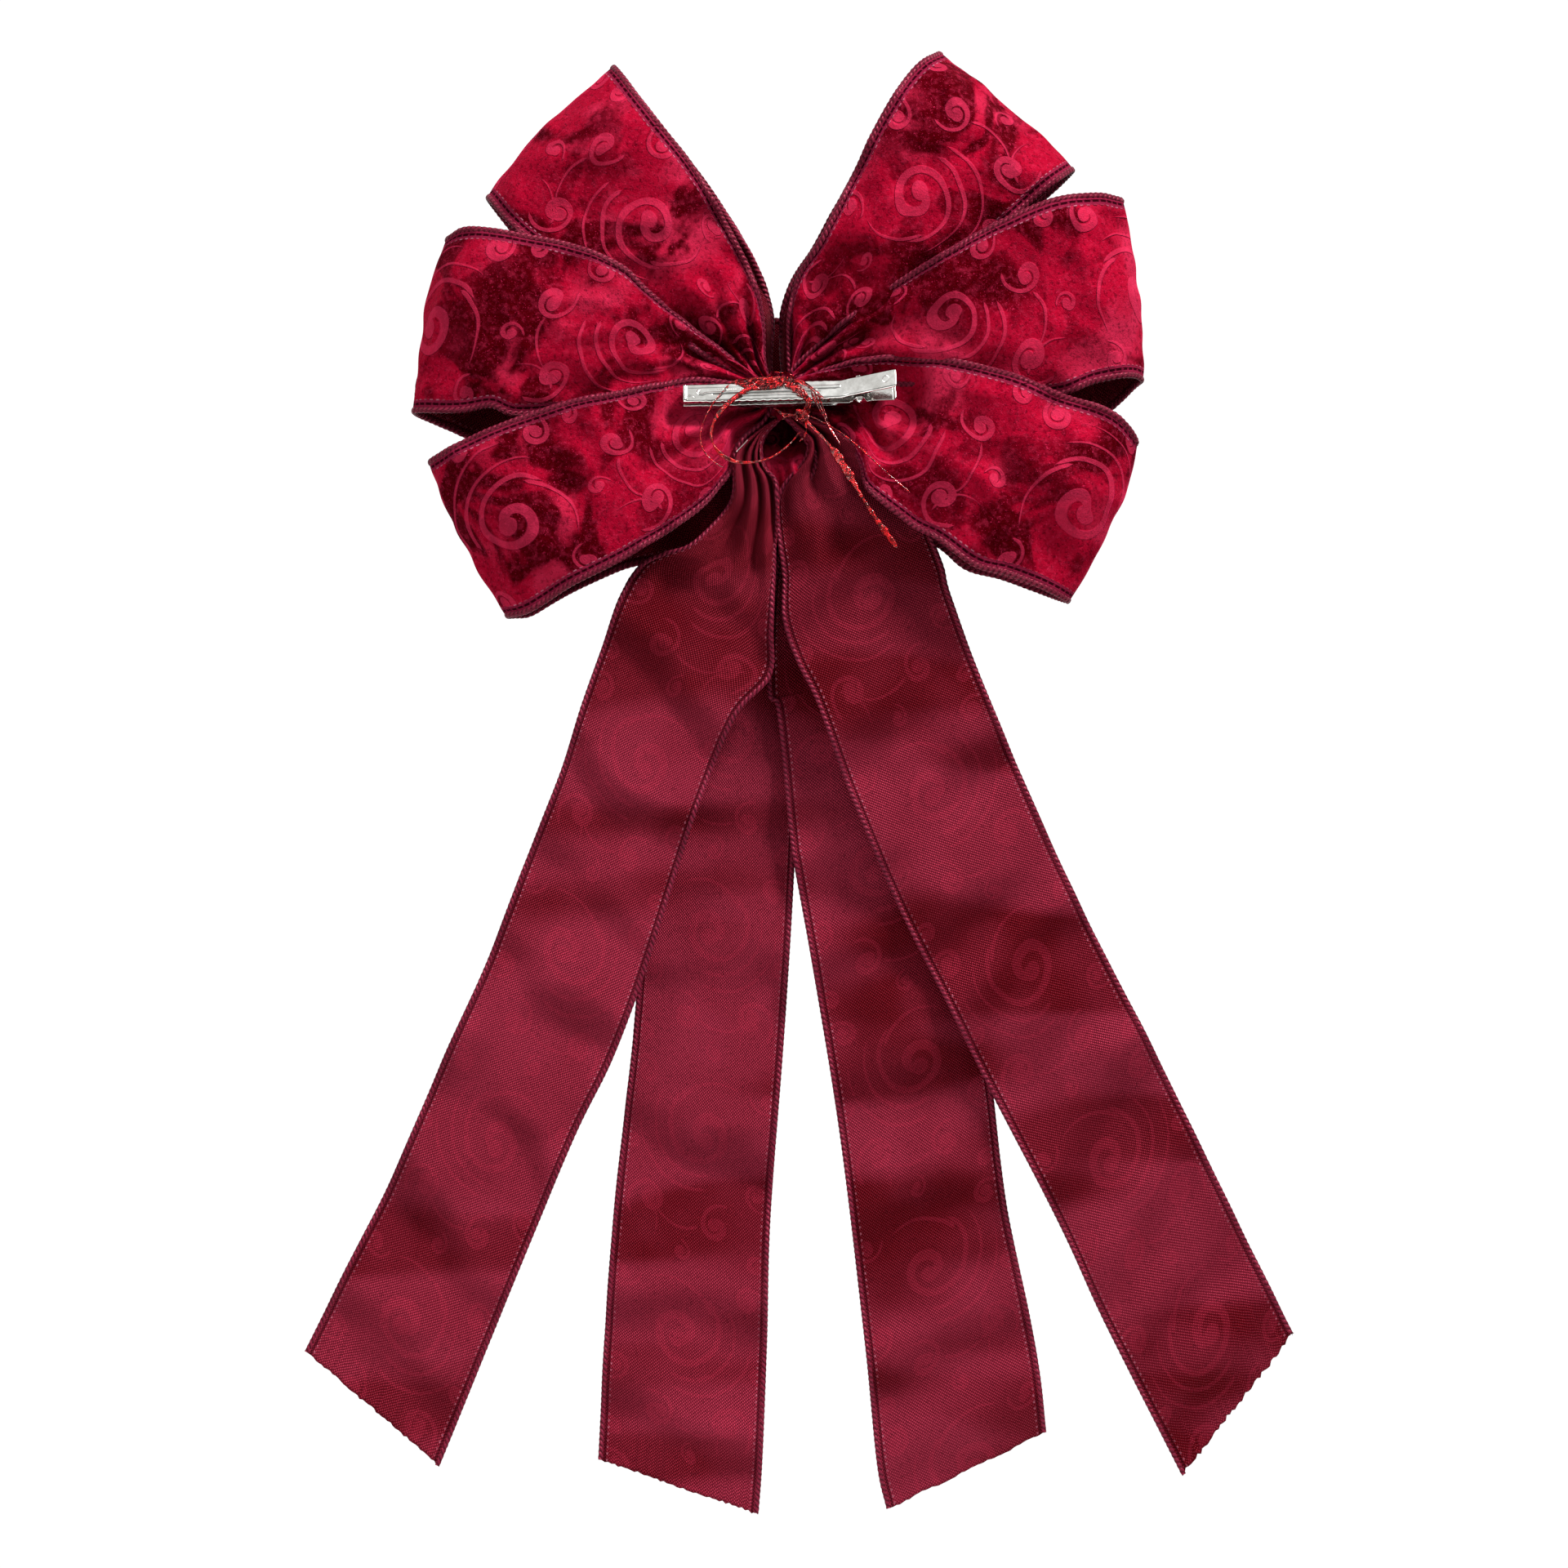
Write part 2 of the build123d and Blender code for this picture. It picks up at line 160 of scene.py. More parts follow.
def grid_faces(nu, nv, start=0, flip=False, wrap=False):
    """Quads of a grid of nu by nv points."""
    i, j = np.meshgrid(np.arange(nu - 1), np.arange(nv if wrap else nv - 1), indexing="ij")
    k = (j + 1) % nv
    f = np.stack([i * nv + j, (i + 1) * nv + j, (i + 1) * nv + k, i * nv + k], -1).reshape(-1, 4) + start
    return f[:, ::-1] if flip else f


def grid_normals(grid):
    return unit(np.cross(np.gradient(grid, axis=0), np.gradient(grid, axis=1)))


def shell(name, grid, thickness, mats, uv):
    """A closed thin sheet: one face on each side of the grid, joined round its edge."""
    nu, nv = grid.shape[:2]
    n = grid_normals(grid)
    top = (grid + n * thickness / 2).reshape(-1, 3)
    low = (grid - n * thickness / 2).reshape(-1, 3)
    count = nu * nv
    index = np.arange(count).reshape(nu, nv)
    ring = np.concatenate([index[0], index[1:, -1], index[-1, -2::-1], index[-2:0:-1, 0]])
    following = np.roll(ring, -1)
    side = np.stack([following, ring, ring + count, following + count], 1)
    faces = np.vstack([grid_faces(nu, nv), grid_faces(nu, nv, count, flip=True), side[:, ::-1]])
    per = (nu - 1) * (nv - 1)
    ids = np.concatenate([np.zeros(per), np.ones(per + len(ring))])
    return make_mesh(name, np.vstack([top, low]), faces, mats, np.vstack([uv, uv]), ids)


ROPE_LOBES = 2
ROPE_DEPTH = 0.10
ROPE_PITCH = 2.3


def tube(path, radii_a, radii_b, normal, sides, turn=0.0, rope=False):
    """A tube of elliptical section along a path: (verts, faces, uv).

    The section turns by the given angles, or, in a rope, its lobes do."""
    path = np.asarray(path, float)
    n = len(path)
    tangent = unit(np.gradient(path, axis=0))
    normal = np.broadcast_to(np.asarray(normal, float), path.shape)
    a = unit(normal - tangent * np.sum(normal * tangent, 1, keepdims=True))
    b = np.cross(tangent, a)
    run = run_along(path)
    turn = np.broadcast_to(turn, (n,))[:, None]
    ang = np.linspace(0, TURN, sides, endpoint=False)
    swell = 1 + ROPE_DEPTH * np.cos(ROPE_LOBES * ang + turn) if rope else 1.0
    spin = 0.0 if rope else turn
    ca = np.cos(ang) * np.broadcast_to(radii_a, (n,))[:, None] * swell
    sb = np.sin(ang) * np.broadcast_to(radii_b, (n,))[:, None] * swell
    x = ca * np.cos(spin) - sb * np.sin(spin)
    y = ca * np.sin(spin) + sb * np.cos(spin)
    grid = path[:, None] + a[:, None] * x[..., None] + b[:, None] * y[..., None]
    verts = np.vstack([grid.reshape(-1, 3), path[0], path[-1]])
    faces = grid_faces(n, sides, flip=True, wrap=True).tolist() + end_caps(n, sides, False)
    uv = np.stack([np.repeat(run, sides), np.tile(ang / TURN * 6.0, n)], 1)
    return verts, faces, np.vstack([uv, [0, 0], [run[-1], 0]])


def end_caps(rows, sides, flip):
    """Triangles from a wrapped grid's first and last rows to the two points that follow it."""
    first, last = rows * sides, (rows - 1) * sides
    caps = [(j, (j + 1) % sides, first) for j in range(sides)]
    caps += [(last + (j + 1) % sides, last + j, first + 1) for j in range(sides)]
    return [(b, a, c) for a, b, c in caps] if flip else caps


def join_parts(name, parts, mat):
    """One mesh object from several (verts, faces, uv) parts."""
    verts, faces, uvs = [], [], []
    count = 0
    for v, f, uv in parts:
        verts.append(np.asarray(v))
        uvs.append(np.asarray(uv))
        faces += [tuple(int(i) + count for i in face) for face in f]
        count += len(v)
    return make_mesh(name, np.vstack(verts), faces, [mat], np.vstack(uvs))


# ---- materials
class Net:
    """Short names for building node networks."""

    def __init__(self, tree):
        self.tree = tree
        self.coords = None

    def node(self, kind, **props):
        n = self.tree.nodes.new(kind)
        for k, v in props.items():
            setattr(n, k, v)
        return n

    def link(self, a, b):
        """Joins an output to an input, or sets the input's own value."""
        if isinstance(a, (int, float, tuple, list)):
            b.default_value = a
        else:
            self.tree.links.new(a, b)

    def math(self, op, a, b=0.0, c=0.0):
        n = self.node("ShaderNodeMath", operation=op)
        for value, socket in zip((a, b, c), n.inputs):
            self.link(value, socket)
        return n.outputs[0]

    def add(self, a, b):
        return self.math("ADD", a, b)

    def sub(self, a, b):
        return self.math("SUBTRACT", a, b)

    def mul(self, a, b):
        return self.math("MULTIPLY", a, b)

    def blend(self, a, b, c):
        """a times b plus c."""
        return self.math("MULTIPLY_ADD", a, b, c)

    def away(self, a, b):
        """How far a is from b."""
        return self.math("ABSOLUTE", self.sub(a, b))

    def step(self, x, low, high, out_low=0.0, out_high=1.0):
        n = self.node("ShaderNodeMapRange", interpolation_type="SMOOTHSTEP")
        self.link(x, n.inputs["Value"])
        set_inputs(n, {"From Min": low, "From Max": high, "To Min": out_low, "To Max": out_high})
        return n.outputs["Result"]

    def mix(self, fac, a, b):
        """Colour a with colour b laid over it."""
        n = self.node("ShaderNodeMix", data_type="RGBA")
        for value, socket in ((fac, n.inputs["Factor"]), (a, n.inputs[6]), (b, n.inputs[7])):
            self.link((*value, 1) if isinstance(value, tuple) else value, socket)
        return n.outputs[2]

    def noise(self, scale, detail=2.0, rough=0.5, vector=None, distortion=0.0):
        n = self.node("ShaderNodeTexNoise")
        set_inputs(n, {"Scale": scale, "Detail": detail, "Roughness": rough, "Distortion": distortion})
        self.link(vector if vector is not None else self.place("Object"), n.inputs["Vector"])
        return n.outputs["Fac"]

    def place(self, kind):
        """The surface's own coordinates: Object (m) or UV (mm along and across a ribbon)."""
        if self.coords is None:
            self.coords = self.node("ShaderNodeTexCoord")
        return self.coords.outputs[kind]

    def split(self, v):
        n = self.node("ShaderNodeSeparateXYZ")
        self.link(v, n.inputs[0])
        return n.outputs

    def join(self, x, y):
        n = self.node("ShaderNodeCombineXYZ")
        self.link(x, n.inputs[0])
        self.link(y, n.inputs[1])
        return n.outputs[0]

    def distance(self, here, x, y):
        n = self.node("ShaderNodeVectorMath", operation="DISTANCE")
        self.link(here, n.inputs[0])
        n.inputs[1].default_value = (x, y, 0)
        return n.outputs["Value"]

    def bump(self, height, distance, strength, normal=None):
        n = self.node("ShaderNodeBump")
        set_inputs(n, {"Strength": strength, "Distance": distance})
        self.link(height, n.inputs["Height"])
        if normal is not None:
            self.link(normal, n.inputs["Normal"])
        return n.outputs["Normal"]

    def row(self, v, at, inner, outer):
        """A line along the ribbon: 1 within inner mm of the place, 0 beyond outer mm."""
        return self.step(self.away(v, at), inner, outer, 1.0, 0.0)

    def beat(self, u, pitch):
        """0 at the middle of each stitch along the ribbon, rising to 0.5 between two."""
        return self.away(self.math("FRACT", self.mul(u, 1 / pitch)), 0.5)


def set_inputs(node, values):
    """Sets the node's own sockets by name."""
    for name, value in values.items():
        node.inputs[name].default_value = value


def material(name, sockets):
    """A material whose shader gets the colours, numbers and outputs that sockets(net) names."""
    mat = bpy.data.materials.new(name)
    mat.use_nodes = True
    net = Net(mat.node_tree)
    for socket, value in sockets(net).items():
        net.link(value, mat.node_tree.nodes["Principled BSDF"].inputs[socket])
    return mat


# The ribbon's scrollwork: log spirals in a tile along the ribbon, every second tile turned over.
# Each: centre along and across, outer radius, tightness, start angle, sweep, hand, stroke (mm, radians).
SCROLL_SIZE = 1.2
CURL_SWEEP = 5.0  # a spiral that turns further than this ends in a knob
TILE = 66.0
SCROLLS = [
    (21, 2, 15.5, 0.20, 3.6, 9.2, 1, 1.5),
    (21, 2, 19.5, 0.13, 3.9, 2.6, 1, 0.7),
    (22, 1, 23.0, 0.12, 4.3, 2.2, 1, 0.6),
    (20, 3, 17.5, 0.18, 2.4, 1.8, 1, 0.7),
    (47, -15, 9.0, 0.22, 0.6, 8.6, -1, 1.25),
    (50, 9, 7.6, 0.23, 2.6, 8.0, 1, 1.15),
    (37, 22, 6.4, 0.24, 5.6, 7.6, -1, 1.05),
    (5.5, -20, 7.2, 0.23, 1.2, 8.0, -1, 1.1),
    (7, 22, 6.2, 0.24, 4.4, 7.4, 1, 1.0),
    (29, -23, 5.4, 0.25, 3.4, 7.0, 1, 0.95),
    (59.5, 22, 5.6, 0.25, 0.4, 7.2, 1, 0.95),
    (61, -3, 4.6, 0.26, 3.0, 6.6, -1, 0.85),
    (40, -2, 15, 0.12, 4.9, 1.9, 1, 0.55),
    (54, -22, 11, 0.12, 1.0, 1.9, 1, 0.5),
    (30, 12, 19, 0.10, 0.5, 1.4, 1, 0.55),
]


def scroll_arm(net, here, x, y, scroll):
    """The mask of one log spiral that widens inward, and of the knob at its middle."""
    cx, cy, radius, tight, start, sweep, hand, stroke = scroll
    r = net.math("MAXIMUM", net.distance(here, cx, cy), 0.01)
    angle = net.math("ARCTAN2", net.blend(y, hand, -cy * hand), net.sub(x, cx))
    angle = net.math("MODULO", net.add(angle, 2 * TURN - start), TURN)
    grow = net.blend(net.math("LOGARITHM", r, math.e), -1 / tight, math.log(radius) / tight)
    turn = net.mul(net.sub(grow, angle), 1 / TURN)
    near = net.math("ROUND", turn)
    run = net.blend(near, TURN, angle)
    off = net.mul(net.mul(net.away(turn, near), TURN * tight), r)
    wide = net.step(run, -0.2 * sweep, 0.8 * sweep, 0.5 * stroke, 1.3 * stroke)
    wide = net.mul(wide, net.step(run, 0.0, 0.3))
    wide = net.mul(wide, net.step(run, sweep - 0.2, sweep, 1.0, 0.0))
    arm = net.step(net.sub(wide, off), 0.0, 0.4)
    if sweep > CURL_SWEEP:
        inner = radius * math.exp(-tight * sweep)
        end = start + sweep
        spot = net.distance(here, cx + inner * math.cos(end), cy + hand * inner * math.sin(end))
        knob = net.step(spot, stroke * 1.8 - 0.2, stroke * 1.8 + 0.2, 1.0, 0.0)
        arm = net.math("MAXIMUM", arm, knob)
    return arm


def scroll_group():
    """A node group that gives the mask of the scrollwork from the ribbon's UV, in mm."""
    tree = bpy.data.node_groups.new("scrollwork", "ShaderNodeTree")
    tree.interface.new_socket("UV", in_out="INPUT", socket_type="NodeSocketVector")
    tree.interface.new_socket("Mask", in_out="OUTPUT", socket_type="NodeSocketFloat")
    net = Net(tree)
    u, v, _ = net.split(net.node("NodeGroupInput").outputs[0])
    cell = net.math("FLOOR", net.mul(u, 1 / TILE))
    x = net.sub(u, net.mul(cell, TILE))
    odd = net.math("MODULO", net.add(cell, 1000.0), 2.0)
    y = net.mul(v, net.blend(odd, -2.0, 1.0))
    here = net.join(x, y)
    best = 0.0
    for scroll in SCROLLS:
        best = net.math("MAXIMUM", best, scroll_arm(net, here, x, y, scroll))
    net.link(best, net.node("NodeGroupOutput").inputs[0])
    return tree


SCROLLWORK = scroll_group()


def scroll_mask(net, shift, bend):
    """The scrollwork's mask, slid along the ribbon and made a little uneven."""
    u, v, _ = net.split(net.place("UV"))
    stray = net.blend(net.noise(38.0, 1.0), bend, -bend / 2)
    along = net.add(net.add(net.mul(u, 1 / SCROLL_SIZE), stray), shift)
    group = net.node("ShaderNodeGroup")
    group.node_tree = SCROLLWORK
    net.link(net.join(along, net.add(net.mul(v, 1 / SCROLL_SIZE), stray)), group.inputs[0])
    return group.outputs[0]


def velvet(net):
    u, v, _ = net.split(net.place("UV"))
    from_middle = net.math("ABSOLUTE", v)
    scroll = scroll_mask(net, 12.0, 5.0)
    # painted sheen and shade: patches where the pile would catch the light are painted lighter, and patches
    # turned from it darker
    patch = net.step(net.noise(34.0, 3.0, 0.55, distortion=0.8), 0.42, 0.58)
    broad = net.step(net.noise(15.0, 2.0, 0.5), 0.42, 0.60)
    painted_sheen = net.step(net.noise(24.0, 3.0, 0.55, distortion=0.6), 0.50, 0.66)
    pile_and_glints = net.noise(1500.0, 2.0, 0.6)
    crush = net.noise(420.0, 3.0, 0.6)
    nap = net.noise(650.0, 2.0, 0.7)
    dark = (0.045, 0.0001, 0.0014)
    mid = (0.225, 0.0016, 0.0130)
    light = (0.40, 0.0180, 0.0550)
    # painted shade from dark to mid by the patches, then painted sheen toward light
    shade = net.step(net.blend(patch, 0.6, net.mul(broad, 0.4)), 0.08, 0.75)
    base = net.mix(shade, dark, mid)
    base = net.mix(net.mul(net.mul(painted_sheen, shade), 0.55), base, light)
    base = net.mix(net.step(nap, 0.30, 0.52, 0.55, 0.0), base, (0.018, 0.0001, 0.001))
    lifted = net.add(net.mul(scroll, 0.45), net.step(crush, 0.45, 0.75, 0.0, 0.22))
    base = net.mix(lifted, base, light)
    # painted glints: fine bright pink flecks where the pile catches the light; the same noise also bumps
    # the pile
    base = net.mix(net.mul(net.step(pile_and_glints, 0.60, 0.74), 0.55), base, (0.42, 0.016, 0.062))
    # the flat strip inside the hem, with its stitched groove and a row of pale stitches
    base = net.mix(net.step(from_middle, HALF - 4.3, HALF - 4.0), base, (0.14, 0.0070, 0.024))
    groove = net.row(from_middle, HALF - 2.8, 0.25, 0.55)
    groove = net.mul(groove, net.step(net.beat(u, 2.9), 0.30, 0.42, 1.0, 0.35))
    stitch = net.row(from_middle, HALF - 4.2, 0.14, 0.34)
    stitch = net.mul(stitch, net.step(net.beat(u, 2.5), 0.16, 0.34, 1.0, 0.0))
    loud = net.step(net.noise(110.0, 1.0), 0.38, 0.66, 0.08, 0.75)
    base = net.mix(net.mul(groove, 0.92), base, (0.006, 0.0001, 0.0006))
    base = net.mix(net.mul(stitch, loud), base, (0.34, 0.10, 0.15))
    height = net.add(net.mul(scroll, 0.6), net.mul(crush, 0.30))
    height = net.add(height, net.mul(nap, 0.25))
    height = net.sub(height, net.mul(groove, 0.7))
    height = net.add(height, net.mul(stitch, 0.4))
    return {
        "Base Color": base, "Normal": net.bump(pile_and_glints, 0.0004, 0.55, net.bump(height, 0.0012, 0.75)),
        "Metallic": 0.10, "Roughness": 0.55, "Specular IOR Level": 0.0,
        "Sheen Weight": 0.24, "Sheen Roughness": 0.30, "Sheen Tint": (1.0, 0.03, 0.16, 1),
    }


def woven_reverse(net):
    u, v, _ = net.split(net.place("UV"))
    from_middle = net.math("ABSOLUTE", v)
    weft = net.math("SINE", net.mul(u, TURN / 1.25))
    warp = net.math("SINE", net.mul(v, TURN / 1.15))
    weave = net.mul(weft, warp)
    fine = net.noise(700.0, 2.0, 0.6)
    broad = net.step(net.noise(26.0, 2.0, 0.5), 0.38, 0.62)
    scroll = scroll_mask(net, 30.0, 4.0)
    # painted shade: dark bands run across the satin where its creases would shade it, mixed with random
    # tone
    x, _, z = net.split(net.place("Object"))
    painted_shade_bands = net.noise(1.0, 1.5, 0.5, vector=net.join(net.mul(x, 5.0), net.mul(z, 23.0)))
    shade_and_tone = net.blend(net.step(painted_shade_bands, 0.41, 0.53), 0.75, net.mul(broad, 0.25))
    # and painted shade darkens it toward the waist, where the loops would shade the ribbon
    shade_and_tone = net.mul(shade_and_tone, net.step(z, -0.155, -0.080, 1.0, 0.45))
    base = net.mix(shade_and_tone, (0.052, 0.0001, 0.0014), (0.124, 0.0068, 0.0180))
    lit_weave = net.mul(net.step(weave, 0.0, 0.9), net.blend(shade_and_tone, 0.44, 0.26))
    base = net.mix(lit_weave, base, (0.40, 0.046, 0.080))
    base = net.mix(net.mul(scroll, 0.13), base, (0.34, 0.018, 0.044))
    base = net.mix(net.step(fine, 0.55, 0.75, 0.0, 0.35), base, (0.022, 0.0008, 0.003))
    # the stitched groove along the hem and its row of stitches
    groove = net.row(from_middle, HALF - 2.4, 0.2, 0.6)
    stitch = net.row(from_middle, HALF - 3.4, 0.22, 0.42)
    stitch = net.mul(stitch, net.step(net.beat(u, 2.6), 0.12, 0.22, 1.0, 0.0))
    loud = net.step(net.noise(90.0, 1.0), 0.35, 0.65, 0.15, 0.6)
    base = net.mix(net.mul(groove, 0.7), base, (0.018, 0.0008, 0.003))
    base = net.mix(net.mul(stitch, loud), base, (0.30, 0.09, 0.13))
    height = net.sub(net.add(net.mul(weave, 0.5), net.mul(fine, 0.4)), groove)
    return {
        "Base Color": base, "Normal": net.bump(height, 0.00045, 0.85),
        "Metallic": 0.32, "Roughness": 0.42,
        "Specular IOR Level": 0.08, "Specular Tint": (1.0, 0.08, 0.12, 1),
        "Sheen Weight": 0.10, "Sheen Roughness": 0.4, "Sheen Tint": (1.0, 0.06, 0.12, 1),
    }


def hem_satin(net):
    u, v, _ = net.split(net.place("UV"))
    ply = net.math("SINE", net.blend(u, TURN / 2.2, net.mul(v, 2.1)))
    fine = net.noise(900.0, 2.0, 0.6)
    base = net.mix(net.step(ply, -0.9, 0.5), (0.052, 0.0020, 0.0078), (0.145, 0.0095, 0.0260))
    base = net.mix(net.step(fine, 0.5, 0.75, 0.0, 0.4), base, (0.21, 0.020, 0.042))
    height = net.add(net.mul(ply, 0.5), net.mul(fine, 0.5))
    return {
        "Base Color": base, "Normal": net.bump(height, 0.0004, 0.7),
        "Metallic": 0.25, "Roughness": 0.45, "Specular IOR Level": 0.08,
        "Sheen Weight": 0.06, "Sheen Tint": (1.0, 0.1, 0.25, 1),
    }


def foil(net):
    crumple = net.noise(520.0, 4.0, 0.65, distortion=0.8)
    painted_glint = net.noise(1400.0, 2.0, 0.5)
    # painted shade and reflection: dark red in some crumples, bright red in others
    base = net.mix(net.step(crumple, 0.38, 0.62), (0.050, 0.0002, 0.001), (0.48, 0.003, 0.006))
    # painted highlights: small pink-white glints on the foil
    base = net.mix(net.step(painted_glint, 0.62, 0.70, 0.0, 0.6), base, (1.0, 0.45, 0.40))
    return {
        "Base Color": base, "Normal": net.bump(crumple, 0.0011, 0.9), "Metallic": 0.9,
        "Roughness": net.step(crumple, 0.3, 0.7, 0.10, 0.28), "Coat Weight": 0.6, "Coat Roughness": 0.08,
    }


def nickel(net):
    haze = net.noise(160.0, 3.0, 0.6)
    grain = net.noise(1800.0, 2.0, 0.5)
    base = net.mix(net.step(haze, 0.3, 0.75), (0.52, 0.51, 0.48), (0.76, 0.75, 0.72))
    return {
        "Base Color": base, "Normal": net.bump(net.add(haze, net.mul(grain, 0.25)), 0.0004, 0.25),
        "Metallic": 1.0, "Roughness": net.step(haze, 0.25, 0.8, 0.10, 0.22),
    }


VELVET = material("velvet", velvet)
REVERSE = material("woven_reverse", woven_reverse)
HEM = material("hem_satin", hem_satin)
FOIL = material("foil", foil)
NICKEL = material("nickel", nickel)


# ---- free foil strands (cords)
def route_line(name, points):
    """Points along the route's own smooth curve, read from a NURBS spline (mm in, mm out)."""
    data = bpy.data.curves.new(name + "_route", "CURVE")
    data.dimensions = "3D"
    data.resolution_u = 48
    spline = data.splines.new("NURBS")
    spline.points.add(len(points) - 1)
    for p, q in zip(spline.points, points):
        p.co = (q[0] * MM, q[1] * MM, q[2] * MM, 1)
    spline.order_u = 3
    spline.use_endpoint_u = True
    holder = bpy.data.objects.new(name + "_route", data)
    COLL.objects.link(holder)
    bpy.context.view_layer.update()
    mesh = bpy.data.meshes.new_from_object(holder)
    line = np.array([v.co[:] for v in mesh.vertices]) / MM
    bpy.data.objects.remove(holder)
    bpy.data.meshes.remove(mesh)
    bpy.data.curves.remove(data)
    return line


STRIP_SIDES = 8


def strip(line, wide, thin, seed, turns, facing=(0, -1, 0), rough=0.03):
    """A narrow crumpled foil strip along a line of points: (verts, faces, uv)."""
    rng = np.random.default_rng(seed)
    line = np.asarray(line, float)
    run = run_along(line)
    wave = sum(
        rng.uniform(0.3, 1.0) * np.sin(run * rng.uniform(0.35, 1.7) + rng.uniform(0, 6.3)) for _ in range(5)
    )
    ends = 0.35 + 0.65 * ramp(run, 0, 1.5) * ramp(run[-1] - run, 0, 1.5)
    width = np.broadcast_to(wide, run.shape) * (1 + 0.13 * wave) * ends
    depth = np.broadcast_to(thin, run.shape) * (1 + 0.18 * np.roll(wave, 5)) * ends
    turn = turns * TURN * run / run[-1] + 0.12 * wave
    v, f, uv = tube(line, depth / 2, width / 2, facing, STRIP_SIDES, turn)
    k = len(line) * STRIP_SIDES
    v[:k] += rng.normal(0, 1, (k, 3)) * rough
    return v, f, uv


# The routes repeat the CAD's own, in millimetres. Each strand: name, diameter, route, body, seed,
# twist, far end, and how its width runs along it.
STRANDS = [
    ("tie_loop_wide", 1.6,
     [(-9.10, -2.01, 3.62), (-17.96, -5.18, -1.76), (-26, -6.9, -11), (-27, -7.6, -19.5),
      (-21, -7.4, -26.5), (-11, -6.6, -28), (1, -6, -24), (8, -5.6, -15.5)],
     "clip_lever", 11, 0.06, "object",
     [(0, 1.8), (0.20, 1.9), (0.30, 1.1), (0.46, 0.8), (0.55, 1.7), (0.68, 1.4), (0.76, 0.7), (1, 0.7)]),
    ("tie_loop_thin", 0.6,
     [(-19.60, -1.60, 3.46), (-23.97, -4.29, -1.25), (-29.6, -6, -10.5), (-31.2, -7.4, -18.5),
      (-28.5, -7.8, -25.5), (-22, -8.4, -29.5)],
     "clip_lever", 12, 1.5, "bare", [(0, 0.6), (1, 0.55)]),
    ("tie_tail_foil", 2.4,
     [(9.4, -2.8, -10.4), (18, -8, -18.5), (26, -12.6, -31), (34, -16, -46), (45, -17, -61)],
     "bow", 13, 0.03, "bare",
     [(0, 1.0), (0.24, 1.1), (0.30, 3.0), (0.58, 3.2), (0.65, 1.4), (0.78, 1.0), (0.88, 2.4), (1, 1.8)]),
    ("tie_tail_thin", 0.6,
     [(10.8, -2.6, -8.8), (20, -6.8, -13), (30, -11, -21), (40, -14, -31), (50, -15.4, -39.5)],
     "bow", 14, 1.0, "bare", [(0, 0.6), (1, 0.6)]),
]
for name, diameter, points, body, seed, turns, far, widths in STRANDS:
    line = route_line(name, points)
    share = np.linspace(0, 1, len(line))
    wide = np.interp(share, *np.transpose(widths))
    strand = join_parts(name + "_foil", [strip(line, wide, 0.34, seed, turns, rough=0.022)], FOIL)
    line_length(line) * MM
    if body == "bow":
        fit(strand, name, body)
    else:
        fit(strand, name, None)
        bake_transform(strand)


# ---- loops
HEM_STEP = 0.55
# flat and thick radius: a hanging tail's hem is pulled flat, and a loop's hem stays round
HEM_RADII = {"hung": (0.95, 0.7), "folded": (1.2, 0.85)}
# each: seed step and bump size, for two depths, a fine depth and two sideways sways
LOOP_WOBBLES = ((1, 46.0), (7, 34.0), (2, 17.0), (3, 50.0), (4, 16.0))
# how far each ribbon's pattern starts from the last one's
PATTERN_SLIDE = 23.0


def profile(spec, count):
    """Side view of a loop as (s, y): s runs 0 to 1 along the loop, back layer first."""
    root_back, root_front, back, middle, front = spec["depth"]

    def between(start, end, marks):
        return [(s, start + (end - start) * share) for s, share in marks]

    points = between(root_back, back, ((0.0, 0.0), (0.12, 0.10), (0.28, 0.45), (0.46, 0.85)))
    points += [(0.64, back), (0.80, back + 0.4)]
    points += between(back, middle, ((0.92, 0.22), (0.985, 0.62)))
    points += between(middle, front, ((1.0, 0.0), (0.985, 0.42), (0.92, 0.80)))
    points += [(0.80, front), (0.62, front - 0.5)]
    points += between(root_front, front, ((0.42, 0.80), (0.22, 0.32), (0.0, 0.0)))
    line = smooth_line([(s * spec["length"], y) for s, y in points], count)
    s = np.clip(line[:, 0] / spec["length"], 0, 1)
    return s, line[:, 1], int(np.argmax(s))


def clear_of_clip(grid):
    """Keeps cloth behind the clip's back face."""
    x, z = grid[..., 0], grid[..., 2]
    away = np.hypot(np.maximum(np.abs(x - 4.0) - 45.0, 0), np.maximum(np.abs(z - 0.5) - 7.5, 0))
    least = 5.4 - ramp(away, 0, 22) * 24
    y = grid[..., 1]
    grid[..., 1] = 0.5 * (y + least + np.sqrt((y - least) ** 2 + 0.6))
    return grid


def gather(width, count):
    """Pleat depth that takes up the cloth a gathered width leaves over."""
    return 0.16 * np.sqrt(np.maximum(RIBBON**2 - width**2, 0)) / count


def crease(along, across, length, mark):
    """The depth of a crease that runs between two places on a loop, and fades at its ends."""
    s0, w0, s1, w1, deep, wide = mark
    start, end = np.array([s0 * length, w0 * RIBBON]), np.array([s1 * length, w1 * RIBBON])
    place = np.stack([along, across], -1)
    d = end - start
    t = np.clip(((place - start) @ d) / (d @ d), 0, 1)
    dist = np.linalg.norm(place - (start + t[..., None] * d), axis=-1)
    return np.exp(-((dist / wide) ** 2)) * deep * (ramp(t, 0.0, 0.3) * (1 - 0.8 * ramp(t, 0.6, 1.0)))


